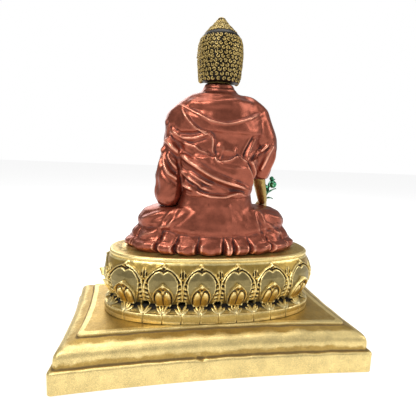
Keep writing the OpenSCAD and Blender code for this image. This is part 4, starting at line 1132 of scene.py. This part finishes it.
bowl_low, bowl_high = (np.array(c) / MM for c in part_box("medicine_bowl"))
bowl_x, bowl_y = (bowl_low[:2] + bowl_high[:2]) / 2
bowl_r = (bowl_high[0] - bowl_low[0]) / 2
bowl_h = bowl_high[2] - bowl_low[2]
BOWL = [(0.02, 0.01), (0.46, 0.0), (0.52, 0.02), (0.54, 0.06), (0.52, 0.09), (0.62, 0.14), (0.76, 0.24),
        (0.88, 0.38),
        (0.95, 0.54), (0.97, 0.7), (0.94, 0.84), (0.93, 0.9), (0.97, 0.94), (1.0, 0.97), (0.99, 1.0),
        (0.93, 1.0),
        (0.87, 0.97), (0.84, 0.9), (0.84, 0.7), (0.78, 0.45), (0.6, 0.24), (0.3, 0.13), (0.02, 0.12)]
bowl_mesh, u, v = grid_mesh("bowl", 64, len(BOWL) - 1, True)
level = np.rint(v * (len(BOWL) - 1)).astype(int)
radius, height = np.array(BOWL)[level].T
write_points(bowl_mesh, np.stack([bowl_x + bowl_r * radius * np.cos(2 * pi * u),
                                  bowl_y + bowl_r * radius * np.sin(2 * pi * u), bowl_low[2] + bowl_h
                                  * height], 1))
close_ends(bowl_mesh)
blue_lacquer = lacquer_paint(
    "blue_lacquer", paint=(0.012, 0.05, 0.2), rubbed_highlight=(0.7, 0.55, 0.22), wash_and_shade=(0.004, 0.008, 0.03),
    wash_and_shade_depth=0.7, rub_and_highlight_height=0.5, gloss=0.22, flakes=0.5, bump=0.08)
make_piece("blue_bowl", bowl_mesh, blue_lacquer, ["medicine_bowl"], sharp=50)
mark_hollows(bowl_mesh, 1, 4)


# --- Sprig ----------------------------------------------------------------------------------
# A stem of the healing plant stands in the right hand, with pointed leaves and round fruit.
# The stem is a rod, and the leaves and the fruit are glued to it. All are metallic green.
sprig_green = lacquer_paint(
    "sprig_green", paint=(0.02, 0.17, 0.075), rubbed_highlight=(0.3, 0.75, 0.45), wash_and_shade=(0.003, 0.02, 0.01),
    wash_and_shade_depth=0.8, rub_and_highlight_height=0.6, gloss=0.26, flakes=0.4, bump=0.1)
STEM = [(-42.2, -17.4, 24.2), (-43.4, -15.2, 31), (-44.7, -13.1, 38), (-46.1, -10.7, 45.6)]
LEAVES = [((-43.9, -14.5, 33.2), (-50.4, -10, 40), 2.5), ((-44.4, -13.6, 36.1), (-44.6, -20.8, 42), 2.3),
          ((-43.4, -15.3, 30.6), (-50.8, -16.4, 31.2), 2.1),
          ((-45.2, -12.2, 40.5), (-50.8, -14.4, 46.8), 2.1)]
FRUITS = [((-46.3, -10.3, 47.2), 1.62), ((-47, -8.8, 43), 2.7), ((-42.6, -12.4, 36.8), 1.62)]

line = np.array(smooth_line(STEM, 8)) + np.array([0, 0, FIGURE_Z])
stem_mesh, u, v = grid_mesh("stem", 12, len(line) - 1, True)
step_no = np.rint(v * (len(line) - 1)).astype(int)
thick = 0.8 * (1 + 0.12 * np.sin(step_no * 1.7))
sideways = np.stack([np.cos(2 * pi * u), np.sin(2 * pi * u), 0 * u], 1)
write_points(stem_mesh, line[step_no] + sideways * thick[:, None])
close_ends(stem_mesh)
make_piece("stem", stem_mesh, sprig_green, ["sprig_stem"], sharp=60)
mark_hollows(stem_mesh, 1, 3)

bm = bmesh.new()
for foot, tip, half_w in LEAVES:
    made = bmesh.ops.create_uvsphere(bm, u_segments=20, v_segments=18, radius=1)["verts"]
    local = np.array([vert.co[:] for vert in made])
    foot, tip = np.array(foot), np.array(tip)
    way = tip - foot
    across = np.cross(way, [0, 0, 1])
    across /= np.linalg.norm(across)
    up = np.cross(across, way / np.linalg.norm(way))
    share = (local[:, 2] + 1) / 2
    width = half_w * local[:, 0] * (1.25 - 0.55 * share)
    vein = -0.22 * bump(local[:, 0], 0.14) + 0.25 * abs(local[:, 0])
    lift = 0.42 * local[:, 1] + vein + 1.2 * np.sin(pi * share) - 0.12 * np.sin(14 * share - 5
                                                                                * abs(local[:, 0]))
    spots = foot + way * share[:, None] + across * width[:, None] + up * lift[:, None]
    for vert, spot in zip(made, spots + np.array([0, 0, FIGURE_Z])):
        vert.co = spot * MM
leaf_mesh = to_mesh("leaves", bm)
make_piece("leaves", leaf_mesh, sprig_green, ["sprig_leaves"], sharp=75)
mark_hollows(leaf_mesh, 1, 5)

bm = bmesh.new()
for place, radius in FRUITS:
    made = bmesh.ops.create_uvsphere(bm, u_segments=30, v_segments=20, radius=1)["verts"]
    local = np.array([vert.co[:] for vert in made])
    around = np.arctan2(local[:, 1], local[:, 0])
    flat = np.hypot(local[:, 0], local[:, 1])
    swell = 1 + 0.05 * np.cos(5 * around) * flat + 0.16 * bump(flat, 0.25) * (local[:, 2] > 0)
    spots = np.array(place) + local * (radius * swell)[:, None] + np.array([0, 0, FIGURE_Z])
    for vert, spot in zip(made, spots):
        vert.co = spot * MM
fruit_mesh = to_mesh("fruits", bm)
make_piece("fruits", fruit_mesh, sprig_green, ["sprig_fruits"], sharp=75)
mark_hollows(fruit_mesh, 2, 8)


# --- Fixings and felt -----------------------------------------------------------------------
# Four steel screws and washers in the hollow plinth hold the throne by brass inserts. Steel
# pegs and pins join the figure, and a felt pad closes the underside. They keep their CAD shape.
def metal(name, colour, roughness):
    material = bpy.data.materials.new(name)
    material.use_nodes = True
    tree = material.node_tree
    shader = tree.nodes["Principled BSDF"]
    coords = tree.nodes.new("ShaderNodeTexCoord").outputs["Object"]
    grain = noise_node(tree, 900.0, 4, coords, 0.6)
    tint = mix_node(tree, ramp_node(tree, grain, 0.3, 0.7), (*[0.75 * c for c in colour], 1), (*colour, 1))
    tree.links.new(tint, shader.inputs["Base Color"])
    tree.links.new(ramp_node(tree, grain, 0.3, 0.7, roughness - 0.08, roughness + 0.1),
                   shader.inputs["Roughness"])
    shader.inputs["Metallic"].default_value = 1.0
    return material


steel = metal("steel", (0.56, 0.57, 0.58), 0.32)
brass = metal("brass", (0.68, 0.5, 0.2), 0.3)
felt = bpy.data.materials.new("felt")
felt.use_nodes = True
felt_tree = felt.node_tree
felt_shader = felt_tree.nodes["Principled BSDF"]
coords = felt_tree.nodes.new("ShaderNodeTexCoord").outputs["Object"]
fuzz = noise_node(felt_tree, 1500.0, 6, coords, 0.75)
tint = mix_node(felt_tree, fuzz, (0.008, 0.03, 0.016, 1), (0.03, 0.09, 0.05, 1))
felt_tree.links.new(tint, felt_shader.inputs["Base Color"])
felt_tree.links.new(ramp_node(felt_tree, fuzz, 0.2, 0.8, 0.85, 1.0), felt_shader.inputs["Roughness"])
nap = felt_tree.nodes.new("ShaderNodeBump")
nap.inputs["Distance"].default_value = 0.0004
felt_tree.links.new(fuzz, nap.inputs["Height"])
felt_tree.links.new(nap.outputs["Normal"], felt_shader.inputs["Normal"])

FINISHES = {"fixing_screws": steel, "screw_washers": steel, "threaded_inserts": brass, "seat_pegs": steel,
            "waist_peg": steel, "neck_peg": steel, "wrist_pins": steel, "bowl_pin": steel, "base_felt": felt}
for name, finish in FINISHES.items():
    for socket in bpy.data.objects[name].material_slots:
        socket.material = finish
